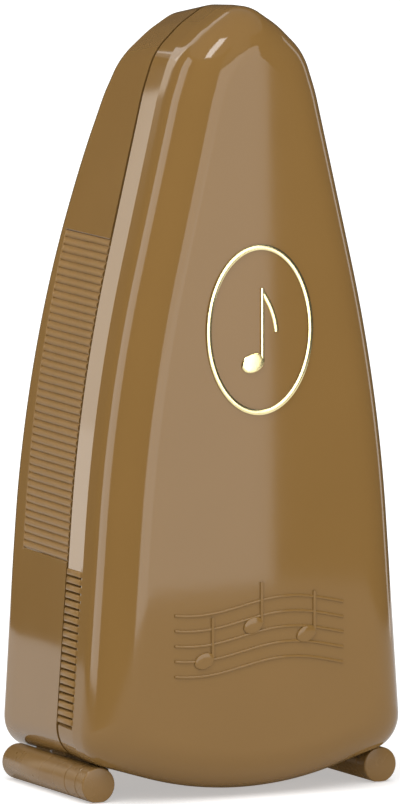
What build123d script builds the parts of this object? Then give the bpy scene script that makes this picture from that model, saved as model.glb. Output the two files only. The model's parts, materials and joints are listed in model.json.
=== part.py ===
from build123d import *
import math
import os

os.makedirs("parts", exist_ok=True)

# Wind-up pendulum metronome in a two-part plastic body.
# Frame: X to the right, Y to the back, Z up. The origin is under the middle of the body,
# on the surface that the two foot bars stand on. All sizes are in millimetres, angles in degrees.

# ---------------------------------------------------------------- body outline (front view)
body_depth = 55.7            # front of the badge to the rear wall
parting_y = -6.5             # plane where the cover meets the case
roof_top_z = 159.7           # highest point of the outline at the parting plane
roof_slope = 36.0            # from level
roof_apex_radius = 7.0
shoulder_half_width = 14.1
shoulder_radius = 16.0
waist_half_width = 30.3      # where the lower and upper side lines meet
waist_z = 82.1
waist_radius = 330.0
base_half_width = 35.6
base_corner_radius = 7.0
keel_z = 1.35                # lowest point of the bulged bottom
keel_slope = 16.8            # rise of the bottom to its corners
keel_radius = 72.0

# ---------------------------------------------------------------- case and cover shells
case_draft = 4.6             # narrowing of the case towards the back
case_wall = 2.4
rear_edge_radius = 4.0
rear_knee_low_z = 50.0       # rear wall is upright to here
rear_knee_high_z = 119.5     # and bends forward above here
rear_knee_shift = 3.4        # forward shift of the rear wall at the upper knee
rear_top_slope = 20.0        # forward lean of the upper rear wall
rear_knee_radius = 75.0
cover_draft = 2.7            # widening of the cover's flank towards the front
flank_length = 8.0           # length of that flank
cover_wall = 1.8
cover_edge_radius = 6.6
cover_inner_radius = 4.8
parting_gap = 0.6            # shadow line between cover and case
lip_length = 2.5             # case lip that the cover slides over
lip_wall = 1.2
lip_clearance = 0.3
boss_radius = 3.2            # screw bosses inside the case

# ---------------------------------------------------------------- finger grips
case_grip_low_z = 47.5
case_grip_high_z = 112.6
case_grip_pitch = 1.55
case_grip_depth = 0.4
case_grip_flat = 0.06        # height that is cut off each rounded crest by the skin of the case
case_grip_length = 25.5      # back from the parting plane
cover_grip_low_z = 14.7
cover_grip_high_z = 46.3
cover_grip_pitch = 1.58
cover_grip_height = 0.35     # tallest edge of each rib above the flank

# ---------------------------------------------------------------- feet
foot_radius = 3.65
foot_flat = 0.2              # depth of the flat ground along the underside
foot_length = 38.6
foot_inset = 3.6             # side of the base to the axis of a foot bar
foot_edge = 0.25             # chamfer at the ends
tenon_width = 3.4
tenon_length = 14.0
tenon_y = 6.0
tenon_top_z = 11.0
tenon_clearance = 0.1
tenon_housing_wall = 2.0
foot_screw_tip_z = 1.5

# ---------------------------------------------------------------- screws
m2_radius = 1.0
m2_head_radius = 2.0
m2_head_height = 1.2
m2_length = 6.0              # under the head
m16_radius = 0.8
m16_head_radius = 1.5
m16_head_height = 0.9
slot_width = 0.5
thread_clearance = 0.05      # screws in the holes that hold them
tip_clearance = 1.0          # screw tips to the bottoms of their holes
head_clearance = 0.2         # heads in their recesses

# ---------------------------------------------------------------- badge
badge_width = 24.0
badge_height = 34.5
badge_z = 95.2
badge_band = 1.0
badge_thickness = 0.5
badge_glue = 0.1             # glue line between badge and cover
note_height = 17.2
note_head_width = 5.2
note_head_height = 3.8
note_head_tilt = 20.0
note_stem_width = 0.8
note_flag_reach = 3.4
note_flag_drop = 8.6

# ---------------------------------------------------------------- panel and scale
panel_thickness = 2.0
panel_clearance = 0.2
scale_thickness = 0.5
scale_margin = 12.0          # body outline to the edge of the scale
scale_bottom_z = 62.0
scale_top_clearance = 7.0    # scale to the tip of the rod
panel_screw_low_z = 14.0
panel_screw_low_inset = 10.6     # from the side of the base
panel_screw_high_z = 72.5
panel_screw_high_inset = 9.1     # from the side of the body at its height
panel_screw_top_drop = 13.7      # below the top of the roof
clip_half_width = 4.0
clip_base_thickness = 1.0
clip_screw_rise = 0.5        # clip screw above the tip of the rod
clip_reach = 5.5             # screw to the lower end of the clip
clip_rise = 3.0              # screw to its upper end
clip_prong_width = 1.1
clip_prong_height = 3.0
clip_rod_gap = 0.5           # prongs to the back of the rod
clip_side_gap = 0.2

# ---------------------------------------------------------------- pendulum
pivot_z = 44.0
arbor_radius = 1.0
arbor_front_reach = 0.3      # arbor past the nut
arbor_end_gap = 0.2          # arbor short of the back of its plate
running_clearance = 0.05     # turning shafts in their holes
fixed_clearance = 0.02       # pressed pieces, drawn with a hair's gap
bush_wall = 1.5
bush_flange = 0.8
bush_flange_thickness = 0.5
rod_width = 3.0
rod_thickness = 0.6
rod_tip_drop = 28.7          # top of the roof to the tip of the rod
rod_front_y = -12.0
rod_eye_radius = 3.1
notch_pitch = 3.0
notch_depth = 0.35
notch_count = 20
notch_start = 22.0           # above the pivot
hub_radius = 3.5
hub_flange_thickness = 1.5
hub_neck_radius = 2.3
hub_standoff = 0.9           # hub to the bush
nut_radius = 2.6
nut_height = 1.6
weight_rest_z = 92.0
weight_height = 9.0
weight_top_width = 11.0
weight_bottom_width = 8.0
weight_thickness = 7.0
weight_edge = 0.5
weight_clearance = 0.15      # rod in the slot of the sliding weight
spring_pocket_depth = 1.2
spring_pocket_margin = 1.2   # pocket to the ends of the weight
spring_strip = 0.2
spring_gap = 0.2             # leaf spring to the ends and sides of its pocket
spring_face_gap = 0.05
bob_radius = 11.0
bob_drop = 22.0              # pivot to the centre of the bob
bob_thickness = 6.0
bob_edge = 0.5
bob_panel_gap = 0.9
arm_width = 4.0
arm_thickness = 1.0
arm_depth = 0.6              # bob's rear face to the arm
arm_reach = 5.5              # arm past the centre of the bob
arm_eye_radius = 2.6

# ---------------------------------------------------------------- movement frame
bob_plate_gap = 1.8          # bob to the movement's front plate
plate_thickness = 1.5
plate_gap = 11.0             # between the plates
plate_case_clearance = 3.2   # front plate to the case wall at the plate's top
plate_low_z = 19.0
plate_high_z = 68.0
plate_corner_radius = 4.0
plate_boss_clearance = 0.6   # rear plate to the screw bosses beside it
pillar_radius = 2.5
pillar_inset = 3.0           # from the side of the rear plate
pillar_end_inset = 4.0       # mean distance from the plate's low and high edges
rivet_radius = 1.5           # pillar ends riveted in the rear plate
movement_screw_inset = 3.7   # from the side of the front plate
movement_screw_low_z = 27.0
movement_screw_high_z = 57.0

# ---------------------------------------------------------------- gear train
barrel_teeth = 48
barrel_module = 0.5
middle_pinion_teeth = 12
middle_teeth = 40
middle_module = 0.4
escape_pinion_teeth = 10
gear_addendum = 0.85         # in modules
gear_dedendum = 1.15
wheel_thickness = 1.2
wheel_plate_gap = 0.5        # wheels to the plates
pinion_overhang = 0.4        # pinions past the wheels they meet
wheel_hub_radius = 2.2
wheel_rim = 1.1
wheel_spoke = 1.5
train_arbor_radius = 0.8
train_arbor_end_gap = 0.3
barrel_height = 6.6
barrel_wall = 0.8
barrel_ledge = 0.4           # roots of the great wheel to its drum
barrel_clearance = 0.6       # drum to the wheels behind it
escape_teeth = 16
escape_radius = 9.0
escape_tooth_depth = 2.2
escape_wheel_front_y = -1.3
escape_arbor_reach = 0.6     # arbor in front of the wheel
pallet_span_teeth = 3.5
pallet_gap = 0.35            # pallets to the wheel with the pendulum upright
pallet_width = 0.6
pallet_length = 2.4
pallet_overhang = 0.2        # pallets past the faces of the wheel
anchor_arm_width = 1.4
anchor_hub_radius = 2.1

# ---------------------------------------------------------------- winding
winding_arbor_radius = 2.0
winding_pivot_radius = 1.5
winding_shoulder_gap = 0.15
barrel_axis_z = 32.6
ratchet_teeth = 24
ratchet_radius = 6.0
ratchet_tooth_depth = 0.9
ratchet_thickness = 1.4
click_pivot_x = -9.0
click_pivot_rise = 11.0      # above the winding axis
click_clearance = 0.3        # beak to the bottom of its gap
click_beak_height = 1.6      # beyond the ratchet's teeth
click_arm_width = 1.6
click_eye_wall = 1.2
stud_radius = 0.8
stud_head_overhang = 0.9
stud_head_thickness = 0.5
coil_gap = 0.15              # click spring around its stud
coil_wall = 0.45
coil_face_gap = 0.2
mainspring_turns = 6
mainspring_strip = 0.25
mainspring_gap = 0.5         # spring to the arbor
mainspring_rim_gap = 0.25
mainspring_face_gap = 0.2
key_dish_radius = 17.0
key_dish_depth = 6.4
key_width = 24.0
key_bar = 5.0
key_bar_step = 1.2           # bar behind the front of the hub
key_edge_radius = 0.8
key_hub_radius = 5.0
key_hub_step = 1.0           # hub below the top of the bar
key_cap = 1.4                # closed end of the key's bore
key_floor_gap = 0.5
key_recess = 0.3             # key below the rear wall
dish_hole_clearance = 0.3    # winding arbor in the floor of the dish

# ---------------------------------------------------------------- places worked out from the sizes
reach = 20.0                 # how far cutting tools stand past what they cut
badge_front_y = -body_depth / 2
cover_front_y = badge_front_y + badge_thickness + badge_glue
rear_y = body_depth / 2
roof_peak_z = roof_top_z + roof_apex_radius * (1 / math.cos(math.radians(roof_slope)) - 1)
shoulder_z = roof_peak_z - shoulder_half_width * math.tan(math.radians(roof_slope))
keel_point_z = keel_z - keel_radius * (1 / math.cos(math.radians(keel_slope)) - 1)
base_corner_z = keel_point_z + base_half_width * math.tan(math.radians(keel_slope))
case_lean = math.tan(math.radians(case_draft))
cover_lean = math.tan(math.radians(cover_draft))


def side_half_width(z):
    """Half-width of the body outline on its long side at height z."""
    lower = (base_half_width - waist_half_width) / (waist_z - base_corner_z)
    upper = (waist_half_width - shoulder_half_width) / (shoulder_z - waist_z)
    bend_length = waist_radius * math.tan((math.atan(upper) - math.atan(lower)) / 2)
    if z > waist_z + bend_length:
        return waist_half_width - upper * (z - waist_z)
    bend = max(0.0, z - waist_z + bend_length)
    return waist_half_width - lower * (z - waist_z) - bend**2 / (2 * waist_radius)


panel_front_y = parting_y
panel_back_y = panel_front_y + panel_thickness
panel_screw_top_z = roof_top_z - panel_screw_top_drop
panel_screw_low_x = base_half_width - panel_screw_low_inset
panel_screw_high_x = side_half_width(panel_screw_high_z) - panel_screw_high_inset
rod_tip_z = roof_top_z - rod_tip_drop
rod_back_y = rod_front_y + rod_thickness
scale_top_z = rod_tip_z - scale_top_clearance
clip_screw_z = rod_tip_z + clip_screw_rise
bob_z = pivot_z - bob_drop
bob_front_y = panel_back_y + bob_panel_gap
bob_back_y = bob_front_y + bob_thickness
arm_back_y = bob_back_y - arm_depth
arm_front_y = arm_back_y - arm_thickness
arm_low_z = bob_z - arm_reach

front_plate_y = bob_back_y + bob_plate_gap
plates_inner_y = front_plate_y + plate_thickness
rear_plate_y = plates_inner_y + plate_gap
rear_plate_back_y = rear_plate_y + plate_thickness
plate_room = side_half_width(plate_high_z) - case_wall - case_lean * (plates_inner_y - parting_y)
front_plate_half_width = plate_room - plate_case_clearance
movement_screw_x = front_plate_half_width - movement_screw_inset
rear_plate_half_width = movement_screw_x - boss_radius - plate_boss_clearance
pillar_x = rear_plate_half_width - pillar_inset
dish_floor_y = rear_y - key_dish_depth
foot_x = base_half_width - foot_inset
foot_z = foot_radius - foot_flat
tenon_x = foot_x - foot_radius
foot_screw_x = tenon_x + tenon_width / 2
foot_screw_seat_z = tenon_top_z + tenon_clearance + tenon_housing_wall

barrel_pitch_radius = barrel_teeth * barrel_module / 2
drum_radius = barrel_pitch_radius - gear_dedendum * barrel_module - barrel_ledge
middle_pinion_radius = middle_pinion_teeth * barrel_module / 2
middle_pitch_radius = middle_teeth * middle_module / 2
escape_pinion_radius = escape_pinion_teeth * middle_module / 2
pallet_half_span = math.radians(180 * pallet_span_teeth / escape_teeth)
escape_axis_z = pivot_z + escape_radius / math.cos(pallet_half_span)
first_distance = barrel_pitch_radius + middle_pinion_radius
second_distance = middle_pitch_radius + escape_pinion_radius
axis_distance = escape_axis_z - barrel_axis_z
middle_rise = (first_distance**2 - second_distance**2 + axis_distance**2) / (2 * axis_distance)
middle_x = math.sqrt(first_distance**2 - middle_rise**2)
middle_z = barrel_axis_z + middle_rise
winding_bush_radius = winding_pivot_radius + running_clearance + bush_wall
click_pivot_z = barrel_axis_z + click_pivot_rise

great_wheel_y = plates_inner_y + wheel_plate_gap
great_wheel_back_y = great_wheel_y + wheel_thickness
barrel_back_y = great_wheel_y + barrel_height
ratchet_y = barrel_back_y + barrel_clearance
ratchet_back_y = ratchet_y + ratchet_thickness
middle_wheel_y = barrel_back_y + barrel_clearance
escape_wheel_back_y = escape_wheel_front_y + wheel_thickness


# ---------------------------------------------------------------- helpers
def front_plane(y):
    """Drawing plane at depth y: its X is the object's X, its Y is up, and it looks forwards."""
    return Plane(origin=(0, y, 0), x_dir=(1, 0, 0), z_dir=(0, -1, 0))


def side_plane(z=0.0):
    """Drawing plane on the middle of the object: its X is the object's Y, its Y is up from z."""
    return Plane(origin=(0, 0, z), x_dir=(0, 1, 0), z_dir=(1, 0, 0))


def slab(sketch, y_front, y_back):
    """Solid between two depths from a drawing in X and Z."""
    placed = front_plane(y_back) * sketch
    return extrude(placed, amount=y_back - y_front, dir=(0, -1, 0))


def disc(radius, y_front, y_back, x=0.0, z=0.0):
    """Round bar along Y."""
    return slab(Pos(x, z) * Circle(radius), y_front, y_back)


def bore(radius, x=0.0, z=0.0):
    """Round cutter along Y through the whole object."""
    return disc(radius, -body_depth, body_depth, x, z)


def block(x_low, x_high, y_low, y_high, z_low, z_high):
    """Box between two corners."""
    size = (x_high - x_low, y_high - y_low, z_high - z_low)
    middle = ((x_high + x_low) / 2, (y_high + y_low) / 2, (z_high + z_low) / 2)
    return Pos(*middle) * Box(*size)


def mirrored(solid):
    """The same piece on the other side of the middle plane."""
    return mirror(solid, about=Plane.YZ)


def screw(radius, head_radius, head_height, length):
    """Slotted pan-head screw that points down, with its seat at the origin."""
    head = Pos(0, 0, head_height / 2) * Cylinder(head_radius, head_height)
    shank = Pos(0, 0, -length / 2) * Cylinder(radius, length)
    slot = Pos(0, 0, head_height) * Box(2 * head_radius, slot_width, head_height)
    return head + shank - slot


def m2_screw(x, z, seat_y):
    """M2 screw along Y with its head at the front."""
    piece = screw(m2_radius, m2_head_radius, m2_head_height, m2_length)
    return Pos(x, seat_y, z) * Rot(90, 0, 0) * piece


def polar(radius, angle, z=0.0):
    """Point at an angle in radians, around a centre at height z."""
    return (radius * math.cos(angle), z + radius * math.sin(angle))


def bar_between(start, end, width):
    """Flat drawing of a bar from one point to another."""
    run = math.hypot(end[0] - start[0], end[1] - start[1])
    turn = math.degrees(math.atan2(end[1] - start[1], end[0] - start[0]))
    middle = ((start[0] + end[0]) / 2, (start[1] + end[1]) / 2)
    return Pos(*middle) * Rot(0, 0, turn) * Rectangle(run, width)


def gear_outline(teeth, module, turn=0.0):
    """Clock-type gear: straight-flanked thin teeth that run with play."""
    pitch_radius = teeth * module / 2
    tip_radius = pitch_radius + gear_addendum * module
    root_radius = pitch_radius - gear_dedendum * module
    step = 2 * math.pi / teeth
    half_tooth = [(root_radius, 0.20), (pitch_radius, 0.18), (tip_radius, 0.07)]
    points = []
    for tooth in range(teeth):
        middle = tooth * step + turn
        for radius, share in half_tooth:
            points.append(polar(radius, middle - share * step))
        for radius, share in reversed(half_tooth):
            points.append(polar(radius, middle + share * step))
    return make_face(Polyline(*points, close=True))


def mesh_turn(teeth, other_teeth, direction, other_turn):
    """Turn that puts a gap of this gear opposite a tooth of the gear it meets.

    direction points from the other gear's axis to this one's, in the X and Z view.
    """
    other_step = 2 * math.pi / other_teeth
    phase = ((direction - other_turn) / other_step) % 1.0
    step = 2 * math.pi / teeth
    return direction + math.pi + step * (0.5 + phase)


def spoked(sketch, rim_radius):
    """Cuts four windows between a rim and the hub."""
    windows = Circle(rim_radius) - Circle(wheel_hub_radius)
    windows -= Rectangle(2 * rim_radius + reach, wheel_spoke)
    windows -= Rectangle(wheel_spoke, 2 * rim_radius + reach)
    return sketch - windows


def rounded_polygon(corners, inset):
    """Convex polygon with its sides moved inwards and a tangent arc at each corner."""
    count = len(corners)
    lines = []
    for index in range(count):
        x0, z0 = corners[index][0]
        x1, z1 = corners[(index + 1) % count][0]
        length = math.hypot(x1 - x0, z1 - z0)
        normal_x = -(z1 - z0) / length
        normal_z = (x1 - x0) / length
        lines.append((normal_x, normal_z, normal_x * x0 + normal_z * z0 + inset))
    points = []
    for index in range(count):
        a, b, c = lines[index - 1]
        d, e, f = lines[index]
        scale = a * e - b * d
        points.append(((c * e - b * f) / scale, (a * f - c * d) / scale))
    radii = [max(radius - inset, parting_gap) for corner, radius in corners]
    return make_face(FilletPolyline(*points, radius=radii, close=True))


def body_outline(inset=0.0):
    """Front view of the body at the parting plane, moved inwards by inset."""
    corners = [
        ((0, keel_point_z), keel_radius),
        ((base_half_width, base_corner_z), base_corner_radius),
        ((waist_half_width, waist_z), waist_radius),
        ((shoulder_half_width, shoulder_z), shoulder_radius),
        ((0, roof_peak_z), roof_apex_radius),
        ((-shoulder_half_width, shoulder_z), shoulder_radius),
        ((-waist_half_width, waist_z), waist_radius),
        ((-base_half_width, base_corner_z), base_corner_radius),
    ]
    return rounded_polygon(corners, inset)


def save(node, *solids):
    """Writes one node, with its solids kept apart."""
    shape = solids[0] if len(solids) == 1 else Compound(children=list(solids))
    shape.label = node
    export_step(shape, f"parts/{node}.step")


# ---------------------------------------------------------------- places of fasteners
def panel_screw_places():
    places = [(0, panel_screw_top_z)]
    for side in (-1, 1):
        places.append((side * panel_screw_low_x, panel_screw_low_z))
        places.append((side * panel_screw_high_x, panel_screw_high_z))
    return places


def movement_screw_places():
    heights = (movement_screw_low_z, movement_screw_high_z)
    return [(side * movement_screw_x, z) for side in (-1, 1) for z in heights]


def pillar_places():
    heights = (plate_low_z + pillar_end_inset, plate_high_z - pillar_end_inset)
    return [(side * pillar_x, z) for side in (-1, 1) for z in heights]


# ---------------------------------------------------------------- rear case
def rear_profile(inset):
    """Side view of the space in front of the rear wall, as a prism across the body."""
    wall_y = rear_y - inset
    knee_y = wall_y - rear_knee_shift
    top_z = roof_top_z + reach
    run = (top_z - rear_knee_high_z) * math.tan(math.radians(rear_top_slope))
    points = [
        (parting_y - reach, -reach),
        (wall_y, -reach),
        (wall_y, rear_knee_low_z),
        (knee_y, rear_knee_high_z),
        (knee_y - run, top_z),
        (parting_y - reach, top_z),
    ]
    radii = [0, 0, rear_knee_radius, rear_knee_radius, 0, 0]
    side = make_face(FilletPolyline(*points, radius=radii, close=True))
    return extrude(side_plane() * side, amount=base_half_width + reach, both=True)


def case_body(inset):
    """Body behind the parting plane, tapered to the back, inset from the outer skin."""
    prism = extrude(
        front_plane(parting_y) * body_outline(inset),
        amount=-(rear_y - parting_y),
        taper=case_draft,
    )
    return prism & rear_profile(inset)


def is_rear_edge(edge):
    """True for the edges of the case body that lie behind the parting plane."""
    return min(vertex.Y for vertex in edge.vertices()) > parting_y + parting_gap


def case_grip():
    """Material between the rounded ribs of the right-hand grip."""
    count = round((case_grip_high_z - case_grip_low_z) / case_grip_pitch)
    valleys = [case_grip_low_z + case_grip_pitch * index for index in range(count + 1)]
    edges = []
    for low, high in zip(valleys, valleys[1:]):
        crest = (low + high) / 2
        edges.append(ThreePointArc(
            (side_half_width(low) - case_grip_depth, low),
            (side_half_width(crest) + case_grip_flat, crest),
            (side_half_width(high) - case_grip_depth, high),
        ))
    outside = base_half_width + reach
    corners = [(outside, valleys[-1]), (outside, valleys[0])]
    edges.append(Polyline(edges[-1] @ 1, *corners, edges[0] @ 0))
    profile = front_plane(parting_y - parting_gap) * make_face(edges)
    return extrude(profile, amount=case_grip_length + parting_gap, dir=(-case_lean, 1, 0))


def foot_tenon(grow=0.0):
    """Upright tab on top of the right foot bar, which seats in the case."""
    return block(
        tenon_x - grow,
        tenon_x + tenon_width + grow,
        tenon_y - tenon_length / 2 - grow,
        tenon_y + tenon_length / 2 + grow,
        foot_z,
        tenon_top_z + grow,
    )


def foot_screw_cutter(radius, low_z, high_z):
    """Upright round cutter on the axis of the right foot's screw."""
    return Pos(foot_screw_x, tenon_y, (low_z + high_z) / 2) * Cylinder(radius, high_z - low_z)


def inner_bosses():
    """Screw bosses, foot housings and the wall of the key's dish, before they are trimmed."""
    solids = disc(key_dish_radius + case_wall, dish_floor_y - case_wall, rear_y, 0, barrel_axis_z)
    for x, z in panel_screw_places():
        solids += disc(boss_radius, panel_back_y, rear_y, x, z)
    for x, z in movement_screw_places():
        solids += disc(boss_radius, plates_inner_y, rear_y, x, z)
    housing = foot_tenon(tenon_clearance + tenon_housing_wall)
    return solids + housing + mirrored(housing)


def make_rear_case():
    outer = case_body(0)
    skin = fillet(outer.edges().filter_by(is_rear_edge), rear_edge_radius)
    lip_ring = body_outline(case_wall - lip_wall) - body_outline(case_wall)
    lip = slab(lip_ring, parting_y - lip_length, parting_y + lip_length)
    case = skin - case_body(case_wall) + (inner_bosses() & skin) + lip
    case -= disc(key_dish_radius, dish_floor_y, rear_y + reach, 0, barrel_axis_z)
    case -= bore(winding_pivot_radius + dish_hole_clearance, 0, barrel_axis_z)
    hole_radius = m2_radius + thread_clearance
    hole_depth = m2_length + tip_clearance
    for x, z in panel_screw_places():
        case -= disc(hole_radius, panel_front_y, panel_front_y + hole_depth, x, z)
    for x, z in movement_screw_places():
        case -= disc(hole_radius, front_plate_y, front_plate_y + hole_depth, x, z)
    shaft = foot_screw_cutter(m16_radius + thread_clearance, foot_z, foot_screw_seat_z + reach)
    head_room = foot_screw_cutter(
        m16_head_radius + head_clearance, foot_screw_seat_z, foot_screw_seat_z + 4 * m16_head_height
    )
    for cut in (shaft, head_room, foot_tenon(tenon_clearance), case_grip()):
        case -= cut
        case -= mirrored(cut)
    return case


# ---------------------------------------------------------------- front cover
def cover_grip():
    """Shingled ribs on the right-hand flank of the cover."""
    count = round((cover_grip_high_z - cover_grip_low_z) / cover_grip_pitch)
    root = cover_wall / 2
    points = [(side_half_width(cover_grip_low_z) - root, cover_grip_low_z)]
    for index in range(count):
        low = cover_grip_low_z + index * cover_grip_pitch
        high = low + cover_grip_pitch - badge_glue
        points.append((side_half_width(low) + cover_grip_height, low))
        points.append((side_half_width(high) + fixed_clearance, high))
    points.append((side_half_width(cover_grip_high_z) - root, cover_grip_high_z))
    profile = front_plane(parting_y - parting_gap) * make_face(Polyline(*points, close=True))
    return extrude(profile, amount=flank_length - parting_gap, dir=(cover_lean, -1, 0))


def make_front_cover():
    flank_end_y = parting_y - flank_length
    flank = extrude(front_plane(parting_y) * body_outline(), amount=flank_length, taper=-cover_draft)
    front = slab(body_outline(-flank_length * cover_lean), cover_front_y, flank_end_y)
    front = fillet(front.faces().sort_by(Axis.Y)[0].edges(), cover_edge_radius)
    cavity = slab(body_outline(cover_wall), cover_front_y + cover_wall, parting_y)
    cavity = fillet(cavity.faces().sort_by(Axis.Y)[0].edges(), cover_inner_radius)
    rebate_outline = body_outline(case_wall - lip_wall - lip_clearance)
    rebate = slab(rebate_outline, parting_y - lip_length - lip_clearance, parting_y)
    gap = slab(Rectangle(4 * roof_top_z, 4 * roof_top_z), parting_y - parting_gap, parting_y + reach)
    grip = cover_grip()
    return front + flank - cavity - rebate - gap + grip + mirrored(grip)


def make_badge():
    """Oval ring with a plain quaver, as thin gilt pieces."""
    ring = Ellipse(badge_width / 2, badge_height / 2)
    ring -= Ellipse(badge_width / 2 - badge_band, badge_height / 2 - badge_band)
    top = note_height / 2
    stem = Rectangle(note_stem_width, note_height - note_head_height / 2, align=(Align.MAX, Align.MAX))
    stem = Pos(note_stem_width, top) * stem
    head = Rot(0, 0, note_head_tilt) * Ellipse(note_head_width / 2, note_head_height / 2)
    head = Pos(note_stem_width - 0.45 * note_head_width, note_head_height / 2 - top) * head
    flag_tip = (note_flag_reach, top - note_flag_drop)
    flag_root = (0, top - note_flag_drop / 2)
    outer = Spline((0, top), (0.7 * note_flag_reach, top - 0.5 * note_flag_drop), flag_tip)
    inner = Spline(flag_tip, (0.6 * note_flag_reach, top - 0.7 * note_flag_drop), flag_root)
    flag = make_face([outer, inner, Line(flag_root, (0, top))])
    note = head + stem + flag
    badge = []
    for drawing in (ring, note):
        badge.append(slab(Pos(0, badge_z) * drawing, badge_front_y, badge_front_y + badge_thickness))
    return badge


# ---------------------------------------------------------------- feet
def make_foot():
    """Right foot bar with the tab that seats in the case."""
    bar = disc(foot_radius, -foot_length / 2, foot_length / 2, foot_x, foot_z)
    bar = chamfer(bar.edges().filter_by(GeomType.CIRCLE), foot_edge)
    bar -= block(0, 2 * foot_x, -foot_length, foot_length, -reach, 0)
    foot = bar + foot_tenon()
    hole_low_z = foot_screw_tip_z - head_clearance
    return foot - foot_screw_cutter(m16_radius + thread_clearance, hole_low_z, tenon_top_z + reach)


def make_foot_screws():
    length = foot_screw_seat_z - foot_screw_tip_z
    piece = screw(m16_radius, m16_head_radius, m16_head_height, length)
    piece = Pos(foot_screw_x, tenon_y, foot_screw_seat_z) * piece
    return [piece, mirrored(piece)]


# ---------------------------------------------------------------- panel and scale
def make_front_panel():
    panel = slab(body_outline(case_wall + panel_clearance), panel_front_y, panel_back_y)
    for x, z in panel_screw_places():
        panel -= bore(m2_radius + thread_clearance, x, z)
    panel -= bore(arbor_radius + running_clearance + bush_wall + fixed_clearance, 0, pivot_z)
    return panel - bore(m16_radius + thread_clearance, 0, clip_screw_z)


def make_scale_plate():
    band = Rectangle(4 * base_half_width, scale_top_z - scale_bottom_z)
    band = Pos(0, (scale_bottom_z + scale_top_z) / 2) * band
    return slab(body_outline(scale_margin) & band, panel_front_y - scale_thickness, panel_front_y)


def make_park_clip():
    """Fork behind the pendulum's swing plane that the stowed rod is pressed into."""
    base_front_y = panel_front_y - clip_base_thickness
    prong_front_y = rod_back_y + clip_rod_gap
    low_z = clip_screw_z - clip_reach
    high_z = clip_screw_z + clip_rise
    near_x = rod_width / 2 + clip_side_gap
    far_x = near_x + clip_prong_width
    clip = block(-clip_half_width, clip_half_width, base_front_y, panel_front_y, low_z, high_z)
    prong = block(near_x, far_x, prong_front_y, panel_front_y, low_z, low_z + clip_prong_height)
    return clip + prong + mirrored(prong) - bore(m16_radius + thread_clearance, 0, clip_screw_z)


def make_park_clip_screw():
    length = clip_base_thickness + panel_thickness
    piece = screw(m16_radius, m16_head_radius, m16_head_height, length)
    return Pos(0, panel_front_y - clip_base_thickness, clip_screw_z) * Rot(90, 0, 0) * piece


def make_panel_bush():
    outer = arbor_radius + running_clearance + bush_wall
    bush = disc(outer, panel_front_y, panel_back_y, 0, pivot_z)
    bush += disc(outer + bush_flange, panel_front_y - bush_flange_thickness, panel_front_y, 0, pivot_z)
    return bush - bore(arbor_radius + running_clearance, 0, pivot_z)


# ---------------------------------------------------------------- pendulum
def pressed_bore():
    """Bore of the pieces that are pressed on the pendulum's arbor."""
    return bore(arbor_radius + fixed_clearance, 0, pivot_z)


def make_pendulum_arbor():
    front_y = rod_front_y - nut_height - arbor_front_reach
    return disc(arbor_radius, front_y, plates_inner_y - arbor_end_gap, 0, pivot_z)


def make_pendulum_hub():
    back_y = panel_front_y - bush_flange_thickness - hub_standoff
    hub = disc(hub_radius, rod_back_y, rod_back_y + hub_flange_thickness, 0, pivot_z)
    return hub + disc(hub_neck_radius, rod_back_y, back_y, 0, pivot_z) - pressed_bore()


def make_pendulum_nut():
    sides = Pos(0, pivot_z) * RegularPolygon(nut_radius, 6)
    return slab(sides, rod_front_y - nut_height, rod_front_y) - pressed_bore()


def make_pendulum_rod():
    half_width = rod_width / 2
    length = rod_tip_z - pivot_z - half_width
    strip = Pos(0, pivot_z + length / 2) * Rectangle(rod_width, length)
    strip += Pos(0, pivot_z + length) * Circle(half_width)
    strip += Pos(0, pivot_z) * Circle(rod_eye_radius)
    for index in range(notch_count):
        z = pivot_z + notch_start + index * notch_pitch
        mouth = notch_depth + rod_width
        notch = Polyline(
            (half_width + rod_width, z - mouth),
            (half_width - notch_depth, z),
            (half_width + rod_width, z + mouth),
            close=True,
        )
        strip -= make_face(notch)
    return slab(strip, rod_front_y, rod_back_y) - pressed_bore()


def make_sliding_weight():
    middle_y = (rod_front_y + rod_back_y) / 2
    low_z = weight_rest_z - weight_height / 2
    high_z = weight_rest_z + weight_height / 2
    outline = make_face(Polyline(
        (-weight_bottom_width / 2, low_z),
        (weight_bottom_width / 2, low_z),
        (weight_top_width / 2, high_z),
        (-weight_top_width / 2, high_z),
        close=True,
    ))
    body = slab(outline, middle_y - weight_thickness / 2, middle_y + weight_thickness / 2)
    body = chamfer(body.edges().filter_by(Axis.Y), weight_edge)
    half_slot = rod_width / 2 + weight_clearance
    slot_front_y = rod_front_y - weight_clearance
    slot_back_y = rod_back_y + weight_clearance
    body -= block(-half_slot, half_slot, slot_front_y, slot_back_y, low_z - reach, high_z + reach)
    pocket_front_y = slot_front_y - spring_pocket_depth
    pocket_low_z = low_z + spring_pocket_margin
    pocket_high_z = high_z - spring_pocket_margin
    return body - block(-half_slot, half_slot, pocket_front_y, rod_front_y, pocket_low_z, pocket_high_z)


def make_weight_spring():
    """Bowed leaf in the weight's pocket that bears on the rod."""
    half_length = weight_height / 2 - spring_pocket_margin - spring_gap
    low_y = rod_front_y - weight_clearance - spring_pocket_depth + spring_face_gap
    high_y = rod_front_y - spring_face_gap
    outer = ThreePointArc((low_y, -half_length), (high_y - spring_strip, 0), (low_y, half_length))
    inner = ThreePointArc(
        (low_y + spring_strip, half_length), (high_y, 0), (low_y + spring_strip, -half_length)
    )
    face = make_face([outer, Line(outer @ 1, inner @ 0), inner, Line(inner @ 1, outer @ 0)])
    return extrude(side_plane(weight_rest_z) * face, amount=rod_width / 2 - spring_gap, both=True)


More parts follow.
